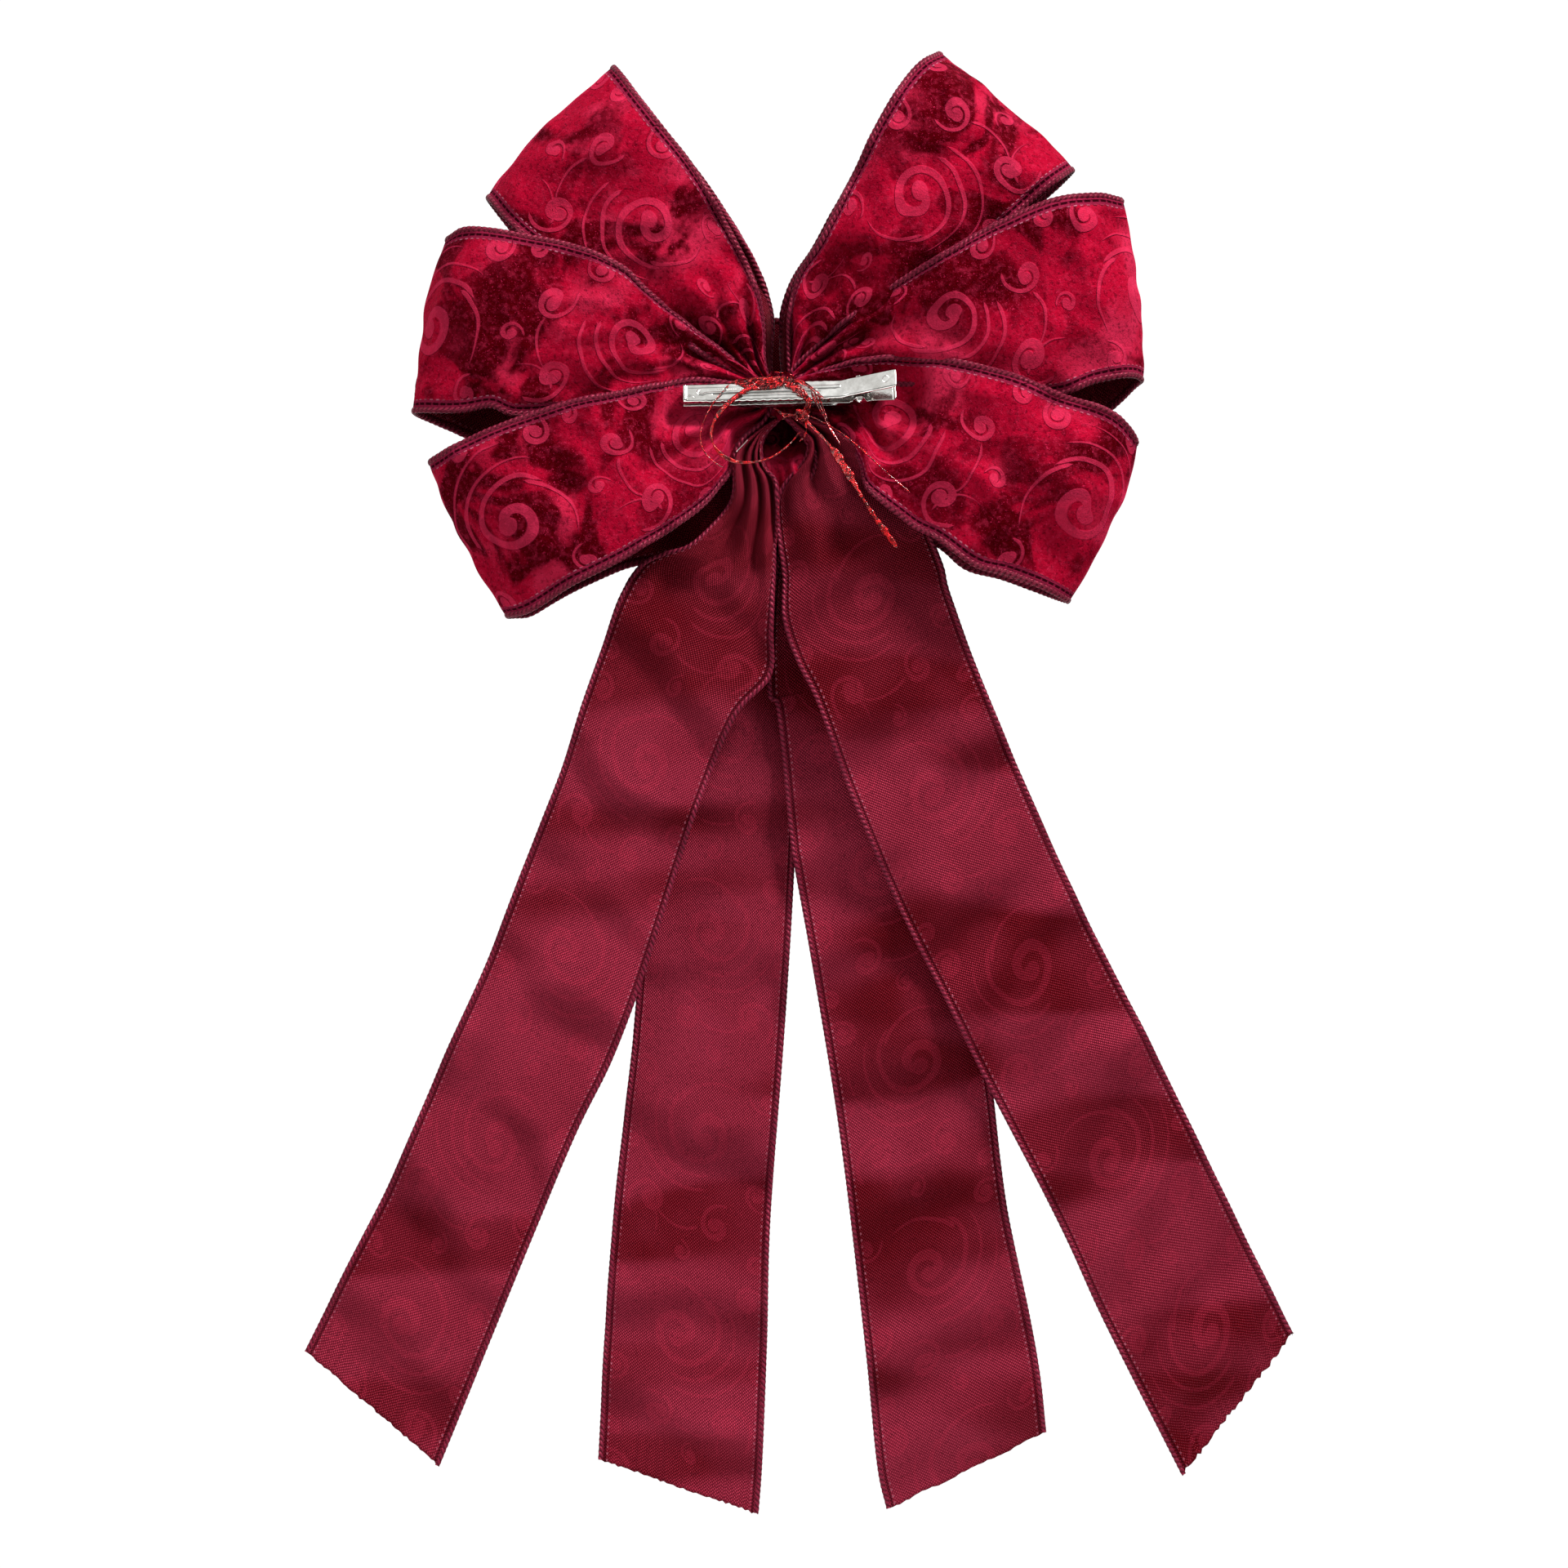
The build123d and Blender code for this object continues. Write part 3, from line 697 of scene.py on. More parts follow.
def loop_surface(spec, nu, nv):
    """Grid of points (nu, nv, 3) of one loop, and its lengthwise distances in mm."""
    s, y, top = profile(spec, nu)
    w = np.linspace(0, 1, nv)
    rims = {}
    for rim in "ab":
        shown = smooth_line(spec[rim], 200)
        far = smooth_line(spec.get(rim + "_front", spec[rim]), 200)
        side = ramp(np.arange(nu), top - 2, top + 2)[:, None]
        rims[rim] = shown, at_fraction(shown, s) * (1 - side) + at_fraction(far, s) * side
    (a, rim_a), (b, rim_b) = rims["a"], rims["b"]
    plan = rim_a[:, None] * (1 - w[None, :, None]) + rim_b[:, None] * w[None, :, None]
    axis = unit(0.5 * (a[-1] + b[-1]) - 0.5 * (a[0] + b[0]))
    arch = (4 * w * (1 - w))[None] * (s[:, None] ** 5) * spec.get("bulge", 2.5)
    plan = plan + axis * arch[..., None]
    depth = np.repeat(y[:, None], nv, axis=1)
    layer = np.where(np.arange(nu) <= top, -1.0, 1.0)[:, None]
    # puff across the width, and gathers that fan out of the waist
    puff = 4.0 * (1 - (2 * w - 1) ** 2)[None] * ramp(s, 0.15, 0.6)[:, None]
    depth = depth + layer * puff * (1 - ramp(s, 0.88, 1.0))[:, None]
    pleats = spec.get("pleats", 3.5)
    n = pleats * (1 - 0.35 * ramp(s, 0.1, 0.6))[:, None]
    phase = np.random.default_rng(spec["seed"]).uniform(0, 6.3) + 1.2 * layer
    shape = np.sin(w[None] * n * TURN + phase + 0.9 * np.sin(w[None] * 5 + phase))
    fade = np.exp(-((s / 0.42) ** 2))[:, None]
    depth = depth + fade * shape * gather(np.linalg.norm(rim_a - rim_b, axis=1)[:, None], pleats)
    for mark in spec.get("creases", ()):
        depth = depth + crease(*spread(s * spec["length"], w * RIBBON), spec["length"], mark) * (layer < 0)
    # the cloth's own unevenness
    lengthwise = np.concatenate([[0], np.cumsum(np.hypot(np.diff(s * spec["length"]), np.diff(y)))])
    along, across = spread(lengthwise, w * RIBBON)
    soft = ramp(s, 0.02, 0.25)[:, None]
    uneven = [wobble(along, across, spec["seed"] + k, size) for k, size in LOOP_WOBBLES]
    depth = depth + uneven[0] * 1.9 * soft
    depth = depth + (0.5 - np.abs(uneven[1])) * 1.6 * soft * layer
    depth = depth + uneven[2] * 0.5 * soft
    plan = plan + axis * ((uneven[3] * 0.6 + uneven[4] * 0.35) * soft)[..., None]
    grid = np.stack([plan[..., 0], depth, plan[..., 1]], -1)
    return clear_of_clip(grid), lengthwise


def hem_path(grid, edge, inset):
    """The line of a ribbon's hem, set in from the edge, and the surface normal along it."""
    inner = 1 if edge == 0 else -2
    outward = unit(grid[:, edge] - grid[:, inner])
    return grid[:, edge] - outward * inset, grid_normals(grid)[:, edge]


def hems(name, grid, flat_radius, thick_radius):
    """Two rolled, rope-twisted hems along the edges of a ribbon."""
    parts = []
    for edge in (0, -1):
        path, normal = hem_path(grid, edge, 0.9)
        run = run_along(path)
        at = np.linspace(0, run[-1], int(line_length(path) / HEM_STEP))
        even = read_at(at, run, path)
        twist = run_along(even) * TURN / ROPE_PITCH
        parts.append(tube(even, thick_radius, flat_radius, read_at(at, run, normal), 12, twist, rope=True))
    return join_parts(name, parts, HEM)


def ribbon(name, grid, lengthwise, held, velvet_side):
    """A ribbon piece with its two hems, standing in for its CAD nodes.

    velvet_side gives a grid row and the direction that its velvet faces."""
    row, towards = velvet_side
    if np.mean(grid_normals(grid)[row] @ np.array(towards, float)) < 0:
        grid = grid[:, ::-1]
    uv = np.stack(spread(lengthwise, np.linspace(-HALF, HALF, grid.shape[1])), -1).reshape(-1, 2)
    web = shell(name + "_ribbon", grid, CLOTH, [VELVET, REVERSE], uv)
    hem = hems(name + "_rolled_hems", grid, *HEM_RADII[held])
    fit(web, name, "bow")
    fit(hem, name + "_hems", "bow")


# Each loop: its two rims as seen from the back, from the waist out (x, z), and, where it differs, the
# same rim on the far layer. Depth: the back layer's root, the front layer's root, then the back,
# outermost and front of the loop (y). Length: from the waist to the outermost point.
loops = [
    dict(
        name="loop_upper_left", seed=21, length=138.0, depth=(13.0, 20.0, 1.0, 20.0, 40.0),
        a=[(-4, 3), (-17.5, 8), (-38, 20), (-62, 36), (-84, 50), (-101.6, 62.5), (-115.3, 78.4)],
        b=[(-3.5, 4), (-6.0, 14), (-6.2, 27), (-9.0, 43), (-17.5, 61), (-33.3, 87.9), (-49.2, 108.6),
           (-65.1, 130.8)],
        b_front=[(-3, 4), (-3.5, 16), (-2.8, 30), (-5, 44), (-13, 62), (-29, 88), (-47, 109),
                 (-65.1, 130.8)],
    ),
    dict(
        name="loop_middle_left", seed=22, length=140.0, depth=(11.0, 19.0, -5.0, 13.0, 33.0),
        a=[(-4, 3), (-9.5, 8.6), (-20.6, 16.5), (-33.3, 26), (-49.2, 38.7), (-61.9, 49.9), (-81, 57.8),
           (-100, 61.6), (-120.7, 64.8), (-130.2, 62.4)],
        b=[(-4, -1), (-23.8, 0.6), (-50, -4), (-80, -7), (-101.6, -9.5), (-112.7, -5.7), (-125.4, -7.3),
           (-143.5, -6.7)],
        b_front=[(-4, -3), (-23, -6), (-60, -16), (-100, -20), (-122, -15.2), (-131, -11.5),
                 (-143.5, -6.7)],
    ),
    dict(
        name="loop_lower_left", seed=23, length=134.0, depth=(9.0, 17.0, -10.0, 6.0, 24.0), bulge=3.0,
        a=[(-4, 1), (-20.6, 5.4), (-36.5, 6.4), (-49.2, 3.8), (-68.3, -1), (-87.3, -5.7), (-106.4, -12.1),
           (-125.4, -20), (-136.8, -25.7)],
        b=[(-3, -4), (-6.4, -10.8), (-13.7, -16.8), (-18.1, -24.1), (-19.7, -30.8), (-24.8, -38.7),
           (-32.1, -46.4), (-42.9, -54.3), (-61.9, -66), (-81, -75.6), (-96.8, -85.1), (-105.7, -86.7)],
        b_front=[(-3, -6), (-10, -18), (-14, -27), (-15, -36), (-19, -46), (-27, -55), (-38, -61.5),
                 (-50, -64.5), (-61.9, -67), (-81, -75.6), (-96.8, -85.1), (-105.7, -86.7)],
        pleats=3.0,
        creases=[(0.06, 0.50, 0.52, 0.60, 7.0, 5.5)],
    ),
    dict(
        name="loop_upper_right", seed=24, length=143.0, depth=(13.0, 20.0, 1.0, 20.0, 40.0),
        a=[(4, 3), (17.5, 10.2), (32, 20), (52, 36), (74, 53), (95.3, 72.1), (115.9, 89.5)],
        b=[(4.1, 4), (3.2, 19.7), (3.8, 35.6), (7.9, 48.3), (15.9, 61), (23.8, 76.8), (30.2, 89.5),
           (39.7, 108.6), (50.8, 126), (61.9, 135.6)],
        b_front=[(2, 4), (0.4, 18), (0.8, 34), (4.8, 48), (13, 62), (28, 89), (49, 126), (61.9, 135.6)],
    ),
    dict(
        name="loop_middle_right", seed=25, length=143.0, depth=(11.0, 19.0, -5.0, 13.0, 33.0), bulge=3.0,
        a=[(4, 4), (4.8, 10.2), (14.3, 19.7), (27, 30.8), (42.9, 41.9), (58.7, 51.4), (74.6, 61),
           (90.5, 68.9), (106.4, 75.2), (122.2, 77.5), (133.4, 76.8)],
        b=[(4, 0), (27, 3.8), (50, 3), (71.4, 1.8), (92, -2), (109.5, -1), (122.2, 3.8), (136.5, 6.4),
           (141.3, 5.4)],
        b_front=[(4, -3), (30, -4), (70, -9), (100, -12), (118, -9), (128.6, -5.7), (141.3, 5.4)],
    ),
    dict(
        name="loop_lower_right", seed=26, length=135.0, depth=(9.0, 17.0, -10.0, 6.0, 24.0), bulge=3.0,
        a=[(4, 3), (6.4, 7), (17.5, 10.2), (30.2, 13.3), (46, 14.9), (61.9, 13.3), (77.8, 10.2),
           (93.7, 5.4), (109.5, -1), (125.4, -5.7), (134.9, -12.1), (139.7, -18.4)],
        b=[(4, -3), (20.3, -13), (29.5, -24.1), (33, -34.9), (37.8, -41.6), (51.8, -52.7), (61.9, -58.1),
           (74.6, -67.6), (87.3, -70.8), (100, -75.6), (112.1, -81)],
        pleats=3.0,
        creases=[(0.06, 0.55, 0.46, 0.66, 6.0, 5.5), (0.30, 0.30, 0.62, 0.36, 3.0, 6.0)],
    ),
]
LOOP_NU, LOOP_NV = ((240, 54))
for spec in loops:
    grid, along = loop_surface(spec, LOOP_NU, LOOP_NV)
    start = PATTERN_SLIDE * spec["seed"]
    ribbon(spec["name"], grid, along + start, "folded", (int(LOOP_NU * 0.3), (0, -1, 0)))


# ---- centre loop on the front
def centre_loop():
    ring = [
        (-3.0, 36.0), (-10.0, 38.5), (-17.0, 46.0), (-20.5, 57.0), (-17.5, 67.5), (-9.5, 74.5), (0, 76.5),
        (9.5, 74.5), (17.5, 67.5), (20.5, 57.0), (17.0, 46.0), (10.0, 38.5), (3.0, 36.0),
    ]
    nu, nv = 150, 44
    line = smooth_line(ring, nu)
    w = np.linspace(0, 1, nv)
    rise = ramp(line[:, 1], 35.0, 52.0)
    low = -10.0 - rise * 13.8
    high = 12.0 + rise * 26.5
    z = low[:, None] * (1 - w[None]) + high[:, None] * w[None]
    radial = unit(line - np.array([0.0, 56.0]))
    pleats = (1 - rise)[:, None] * np.sin(w[None] * TURN * 2.5) * 1.6
    dent = wobble(np.arange(nu)[:, None] * 1.0, w[None] * RIBBON, 40, 36.0)
    flare = (2 * np.abs(w - 0.5)) ** 2 * 1.2
    shift = pleats + dent + flare[None] - 0.8
    x, y = (line[:, None, k] + radial[:, None, k] * shift for k in (0, 1))
    along = run_along(line)
    ribbon("centre_loop", np.stack([x, y, z], -1), along, "folded", (nu // 2, (0, 1, 0)))


centre_loop()


# ---- tails
WAVE_HEIGHT = 1.2  # how much deeper the tails' waves are than the heights listed with them


def tail_surface(spec, nu, nv):
    """Grid of points (nu, nv, 3) of one hanging tail, and its lengthwise distances in mm."""
    shares = np.linspace(0, 1, nu)
    left, right = (at_fraction(smooth_line(spec[edge], 400), shares) for edge in ("left", "right"))
    w = np.linspace(0, 1, nv)
    plan = left[:, None] * (1 - w[None, :, None]) + right[:, None] * w[None, :, None]
    mid = 0.5 * (left + right)
    run = run_along(mid)
    along, across = spread(run, w * RIBBON)
    # how far the tail lies from the clip's plane, with the list's corners rounded off
    kernel = np.hanning(41)
    kernel /= kernel.sum()
    y = np.interp(run, *np.transpose(spec["lie"]))
    y = np.convolve(np.pad(y, 20, mode="edge"), kernel, mode="valid")
    depth = np.repeat(y[:, None], nv, 1)
    for centre, height, wide, tilt in spec["waves"]:
        d = (along - centre - tilt * (across - HALF) - 3.0 * np.sin(across * 0.09 + centre)) / wide
        uneven = 1 - 0.35 * np.sin(across * 0.05 + centre * 0.7) ** 2
        depth = depth + WAVE_HEIGHT * height * uneven * d * np.exp(-0.5 * d * d)
    fade = np.exp(-((run / 78.0) ** 2))[:, None]
    phase = spec["seed"] * 1.3
    n = spec["pleats"] * (1 - 0.45 * ramp(run, 15, 95))[:, None]
    shape = np.sin(w[None] * n * TURN + phase + 0.8 * np.sin(w[None] * 4 + phase))
    width = np.linalg.norm(left - right, axis=1)[:, None]
    depth = depth + fade * shape * gather(width, spec["pleats"]) * 1.15
    later = ramp(run, 20, 90)[:, None]
    depth = depth + wobble(along, across, spec["seed"], 75.0) * 1.4 * later
    depth = depth + wobble(along, across, spec["seed"] + 5, 30.0) * 0.5 * later
    depth = depth + wobble(along, across * 0.4, spec["seed"] + 6, 14.0) * 0.16 * later
    # the cut end frays a little
    ragged = wobble(across, across * 0 + spec["seed"], spec["seed"] + 9, 3.0) * spec.get("fray", 0.4)
    end = shares[:, None] ** 30
    plan = plan + unit(mid[-1] - mid[-8]) * (ragged * end)[..., None]
    return np.stack([plan[..., 0], depth, plan[..., 1]], -1), run


# Each tail: its two edges as seen from the back (x, z), how it lies (distance along, y), and its waves
# (distance along, height, width, tilt across).
tails = [
    dict(
        name="tail_outer_left", seed=31, pleats=3.5,
        left=[(-1.3, -9.8), (-10, -15.5), (-17.4, -23.2), (-18.2, -37.5), (-20.6, -43.8), (-26, -50.2),
              (-35.6, -59), (-45.4, -61.9), (-53.3, -65.1), (-58.1, -70.5), (-61, -75.9), (-64.1, -82.9),
              (-69, -97), (-76, -117), (-86, -148), (-100, -183.5), (-116, -224.8), (-132, -260),
              (-151, -304), (-170, -342), (-185.5, -373.2)],
        right=[(-0.6, -9.8), (-6.4, -16.5), (-7.2, -23), (-5.4, -29), (-0.6, -36.5), (-1.5, -60),
               (-2.6, -92), (-3.5, -110), (-17.5, -126.5), (-33, -164.5), (-52.4, -224.8), (-65.7, -260),
               (-81, -291.5), (-107.3, -355), (-122.9, -393.4), (-132.8, -417.8)],
        lie=[(0, 8), (40, 3), (80, 2), (200, 6), (330, 7), (440, 6)],
        waves=[(48, 2.2, 8, 0.2), (76, 3.4, 9, 0.25), (116, 3.2, 10, 0.3), (162, 2.8, 10, 0.1),
               (202, 1.6, 9, 0.3), (244, 3.6, 11, 0.15), (297, 2.0, 9, 0.2), (349, 3.6, 11, 0.2),
               (398, 1.8, 9, 0.1)],
    ),
    dict(
        name="tail_inner_left", seed=32, pleats=2.5,
        left=[(-3, -9), (-12, -30), (-26, -60), (-40, -95), (-47, -130), (-52, -180), (-57.2, -243),
              (-58.7, -259.7), (-65.1, -317), (-69.2, -371), (-71.5, -417.5)],
        right=[(-2, -9), (-10, -18), (-10.5, -28), (-3, -42), (5, -62), (9, -100), (7.5, -140),
               (5.7, -184.5), (3.2, -228), (1, -259.7), (-3.8, -323.2), (-5.1, -371), (-7, -418.5),
               (-8.6, -439.6)],
        lie=[(0, 14), (60, 16), (200, 20), (440, 19)],
        waves=[(156, 2.0, 10, 0.1), (220, 1.8, 10, -0.1), (289, 3.6, 11, 0.2), (354, 3.2, 10, -0.2),
               (400, 1.8, 9, 0.1)],
    ),
    dict(
        name="tail_inner_right", seed=33, pleats=2.5,
        left=[(2, -9), (12, -18), (13, -28), (6, -42), (-1, -62), (-4, -88), (-4.8, -117), (-1.3, -123),
              (4.1, -174), (5.7, -184.2), (13.6, -228), (23.8, -291.5), (33.3, -370.8), (38.1, -418.5),
              (41.9, -436.6)],
        right=[(4, -9), (20, -30), (38, -55), (54, -80), (64, -110), (70, -160), (77, -220), (83.2, -269.9),
               (88.9, -316.9), (100, -370.8), (104.5, -405.8)],
        lie=[(0, 12), (60, 12), (200, 13), (440, 13)],
        waves=[(130, 2.4, 9, 0.1), (178, 3.2, 9, 0.05), (216, 2.6, 8, 0.1), (262, 3.6, 10, -0.1),
               (316, 2.4, 9, 0.1), (372, 3.4, 10, 0.05), (412, 1.6, 9, 0.0)],
    ),
    dict(
        name="tail_outer_right", seed=34, pleats=3.0,
        left=[(3, -9), (9.8, -17.5), (11.1, -20.3), (8.9, -26.4), (2.2, -33.7), (-1, -39.7), (-1.6, -47),
              (-0.5, -59), (1, -71), (1, -88), (6.4, -104), (14.3, -120), (27, -155), (46, -199.4),
              (65.1, -237.5), (82.6, -272.4), (109.5, -324.5), (126.4, -361.3), (157.2, -422)],
        right=[(6, -8), (20, -13), (34, -22), (46, -34), (56, -49), (63.5, -66), (66.7, -78.7),
               (81, -116.8), (100, -161.3), (119.1, -202.6), (148, -259.7), (175, -315), (197.8, -361.3),
               (200.4, -365.4)],
        lie=[(0, 8), (40, 4), (80, 3), (200, 6), (330, 6), (440, 5)],
        waves=[(44, 2.0, 8, -0.3), (72, 3.0, 9, -0.2), (120, 3.2, 10, -0.25), (164, 2.4, 9, -0.1),
               (205, 1.8, 9, -0.2), (234, 3.0, 9, -0.2), (302, 3.2, 10, -0.2), (346, 2.6, 9, -0.2),
               (380, 2.6, 9, -0.1), (412, 1.5, 8, 0.0)],
        fray=0.7,
    ),
]
TAIL_NU, TAIL_NV = ((300, 50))
for spec in tails:
    grid, along = tail_surface(spec, TAIL_NU, TAIL_NV)
    start = PATTERN_SLIDE * spec["seed"]
    ribbon(spec["name"], grid, along + start, "hung", (TAIL_NU * 2 // 3, (0, 1, 0)))


# ---- waist: gathered ribbon
def gathered_waist():
    nu, nv = 40, 120
    t = np.linspace(0, 1, nu)
    ang = np.linspace(0, TURN, nv, endpoint=False)
    y = 7.0 + t * 29.0
    radius = 9.0 - 1.6 * np.sin(t * math.pi)
    r = radius[:, None] * (1 + 0.10 * np.sin(ang * 11)[None] + 0.05 * np.sin(ang * 23 + 1)[None])
    grid = np.stack([r * np.cos(ang)[None], np.repeat(y[:, None], nv, 1), r * np.sin(ang)[None]], -1)
    verts = np.vstack([grid.reshape(-1, 3), [0, 7.4, 0], [0, 35.6, 0]])
    faces = grid_faces(nu, nv, wrap=True).tolist() + end_caps(nu, nv, True)
    uv = np.stack([np.repeat(y, nv), np.tile(ang * 9 - 28, nu)], 1)
    piece = make_mesh("gathered_ribbon_waist", verts, faces, [VELVET], np.vstack([uv, [0, 0], [30, 0]]))
    fit(piece, "gathered_waist", "bow")


def tucked_fold():
    """A fold of the ribbon tucked behind the gap between the outer tails."""
    x = np.linspace(-17, 17, 44)[:, None]
    z = np.linspace(-6, -46, 50)[None]
    y = 25 - 15.5 * ramp(-z, 14, 29) + 2.2 * np.cos(x * 0.52 - 0.6) * ramp(-z, 10, 26)
    y = y + 1.0 * np.sin(x * 1.3 + z * 0.3)
    grid = np.stack([x + 0 * z, y, z + 0 * x], -1)
    uv = np.stack([grid[..., 2] * 1.3, grid[..., 0] * 1.2], -1).reshape(-1, 2)
    if np.mean(grid_normals(grid)[..., 1]) > 0:
        grid = grid[::-1]
    fit(shell("tucked_velvet_fold", grid, CLOTH, [VELVET, REVERSE], uv), "gathered_waist", "bow")


gathered_waist()
tucked_fold()


# ---- clip
# the clip's own directions: along it, out of its face toward its lever, and across it
AXIS = np.array([0.99961, 0, 0.02792])
OUT = np.array([-0.01224, -0.89879, 0.43820])
ACROSS = np.array([-0.02510, 0.43837, 0.89844])
PIN_X, PIN_Z = 30.8, 0.4
LEVER_Z = 2.3  # the lever's face, which tilts away from the base past the bend
BEND_X = 23.0
HANDLE_SLOPE = 0.3326


def clip_frame(x, y, z):
    """Row-frame points from the clip's own lengthwise, crosswise and outward distances."""
    x, y, z = np.broadcast_arrays(np.asarray(x, float), y, z)
    return x[..., None] * AXIS + y[..., None] * ACROSS + z[..., None] * OUT


def ridge(x, w, points, wide):
    """1 on a polyline in the plate's plane, falling to 0 at the given half width."""
    best = np.full(x.shape, 1e9)
    for (x0, w0), (x1, w1) in zip(points[:-1], points[1:]):
        dx, dw = x1 - x0, w1 - w0
        t = np.clip(((x - x0) * dx + (w - w0) * dw) / (dx * dx + dw * dw), 0, 1)
        best = np.minimum(best, np.hypot(x - x0 - t * dx, w - w0 - t * dw))
    return ramp(-best, -wide, -wide * 0.25)


def channel(name, xs, plate_z, rim, half, corner, thickness, relief, edge_swell):
    """A folded sheet-metal channel: a plate with rounded corners and two side walls."""
    n_flat, n_corner, n_wall = 56, 6, 10
    flat = half - corner
    side = 1.0 if np.mean(rim) < np.mean(plate_z) else -1.0
    turn = np.linspace(0, math.pi / 2, n_corner, endpoint=False)
    rows = []
    for pz, edge, swell in zip(plate_z, rim, edge_swell):
        knee = pz - side * corner
        row = [(-half - swell, z) for z in np.linspace(edge, knee, n_wall, endpoint=False)]
        row += [(-flat - corner * math.cos(a) - swell * (1 - a), pz - side * corner * (1 - math.sin(a)))
                for a in turn]
        row += [(w * flat, pz) for w in np.linspace(-1, 1, n_flat)]
        row += [(flat + corner * math.sin(a) + swell * a, pz - side * corner * (1 - math.cos(a)))
                for a in turn[1:]]
        row += [(half + swell, z) for z in np.linspace(knee, edge, n_wall)]
        rows.append(row)
    section = np.array(rows)
    w, z = section[..., 0], section[..., 1]
    x = xs[:, None] + 0 * w
    z = z + relief(x, w) * ramp(-np.abs(w), -half + 0.1, -flat + 0.2)
    grid = clip_frame(x, w, z)
    if np.mean(grid_normals(grid)[:, len(rows[0]) // 2] @ OUT) < 0:
        grid = grid[:, ::-1]
    return shell(name, grid, thickness, [NICKEL, NICKEL], np.stack([x, w], -1).reshape(-1, 2))


def lever_relief(x, w):
    """Height of what is pressed into the lever's face."""
    band = 0.16 * ramp(w, 1.75, 2.15) * ramp(x, -36, -35.4) * ramp(-x, -9, -7.5)
    lip = 0.42 * ramp(-x, 36.0, 36.7)
    hook = [(-31.6, 0.9), (-31.9, 0), (-31.2, -0.9), (-29.9, -1.1), (-28.9, -0.5), (-27.6, -0.35),
            (14, -0.15)]
    arc = [(-36.0, -2.3), (-35.6, -1.7), (-34.9, -1.35), (-34.2, -1.55), (-33.7, -2.2)]
    hook = 0.26 * ridge(x, w, hook, 0.42)
    arc = 0.16 * ridge(x, w, arc, 0.3)
    low = -0.20 * ridge(x, w, [(-26, -1.05), (16, -0.9)], 0.34)
    rib = 0.24 * ridge(x, w, [(-14, -1.9), (14, -1.75)], 0.5)
    pits = -0.30 * ramp(-np.hypot((x * 1.02 + 40) % 0.98 - 0.49, w - 1.05), -0.27, -0.12)
    pits = pits * ramp(x, -25, -24.5) * ramp(-x, -8, -7.5)
    bar = 0.26 * ridge(x, w, [(6, 1.0), (23.0, 1.0)], 0.85)
    bar = bar - 0.14 * ridge(x, w, [(4, 0.0), (22.0, 0.05)], 0.25)
    outline = -0.12 * ridge(x, w, [(8, 1.0), (22.0, 1.0)], 0.35)
    dimple = -0.14 * ramp(-np.abs(np.hypot(x - 41.0, w * 0.9) - 1.3), -0.32, -0.05)
    dents = 0.05 * np.sin(x * 0.31 + w * 0.5) * np.cos(w * 0.9)
    return band + lip + hook + arc + low + rib + pits + bar + outline + dimple + dents


def base_relief(x, w):
    return 0.05 * np.sin(x * 0.4) + 0.2 * ridge(x, w, [(-30, 0), (20, 0)], 0.6)


def lever_ear(name, side):
    """One of the two ears that carry the lever on the pin."""
    ang = np.linspace(-0.12 * math.pi, 1.12 * math.pi, 40)
    rim_x = PIN_X + 2.1 * np.cos(ang)
    rim_z = PIN_Z - 2.1 * np.sin(ang)
    top_z = LEVER_Z + np.maximum(rim_x - BEND_X, 0) * HANDLE_SLOPE - 0.2
    t = np.linspace(0, 1, 14)
    z = rim_z[:, None] * (1 - t) + top_z[:, None] * t
    x = rim_x[:, None] + 0 * z
    grid = clip_frame(x, side * (2.8 + 0.55 * ramp(t, 0.55, 1.0))[None] + 0 * z, z)
    return shell(name, grid, 0.5, [NICKEL, NICKEL], np.stack([x, z], -1).reshape(-1, 2))


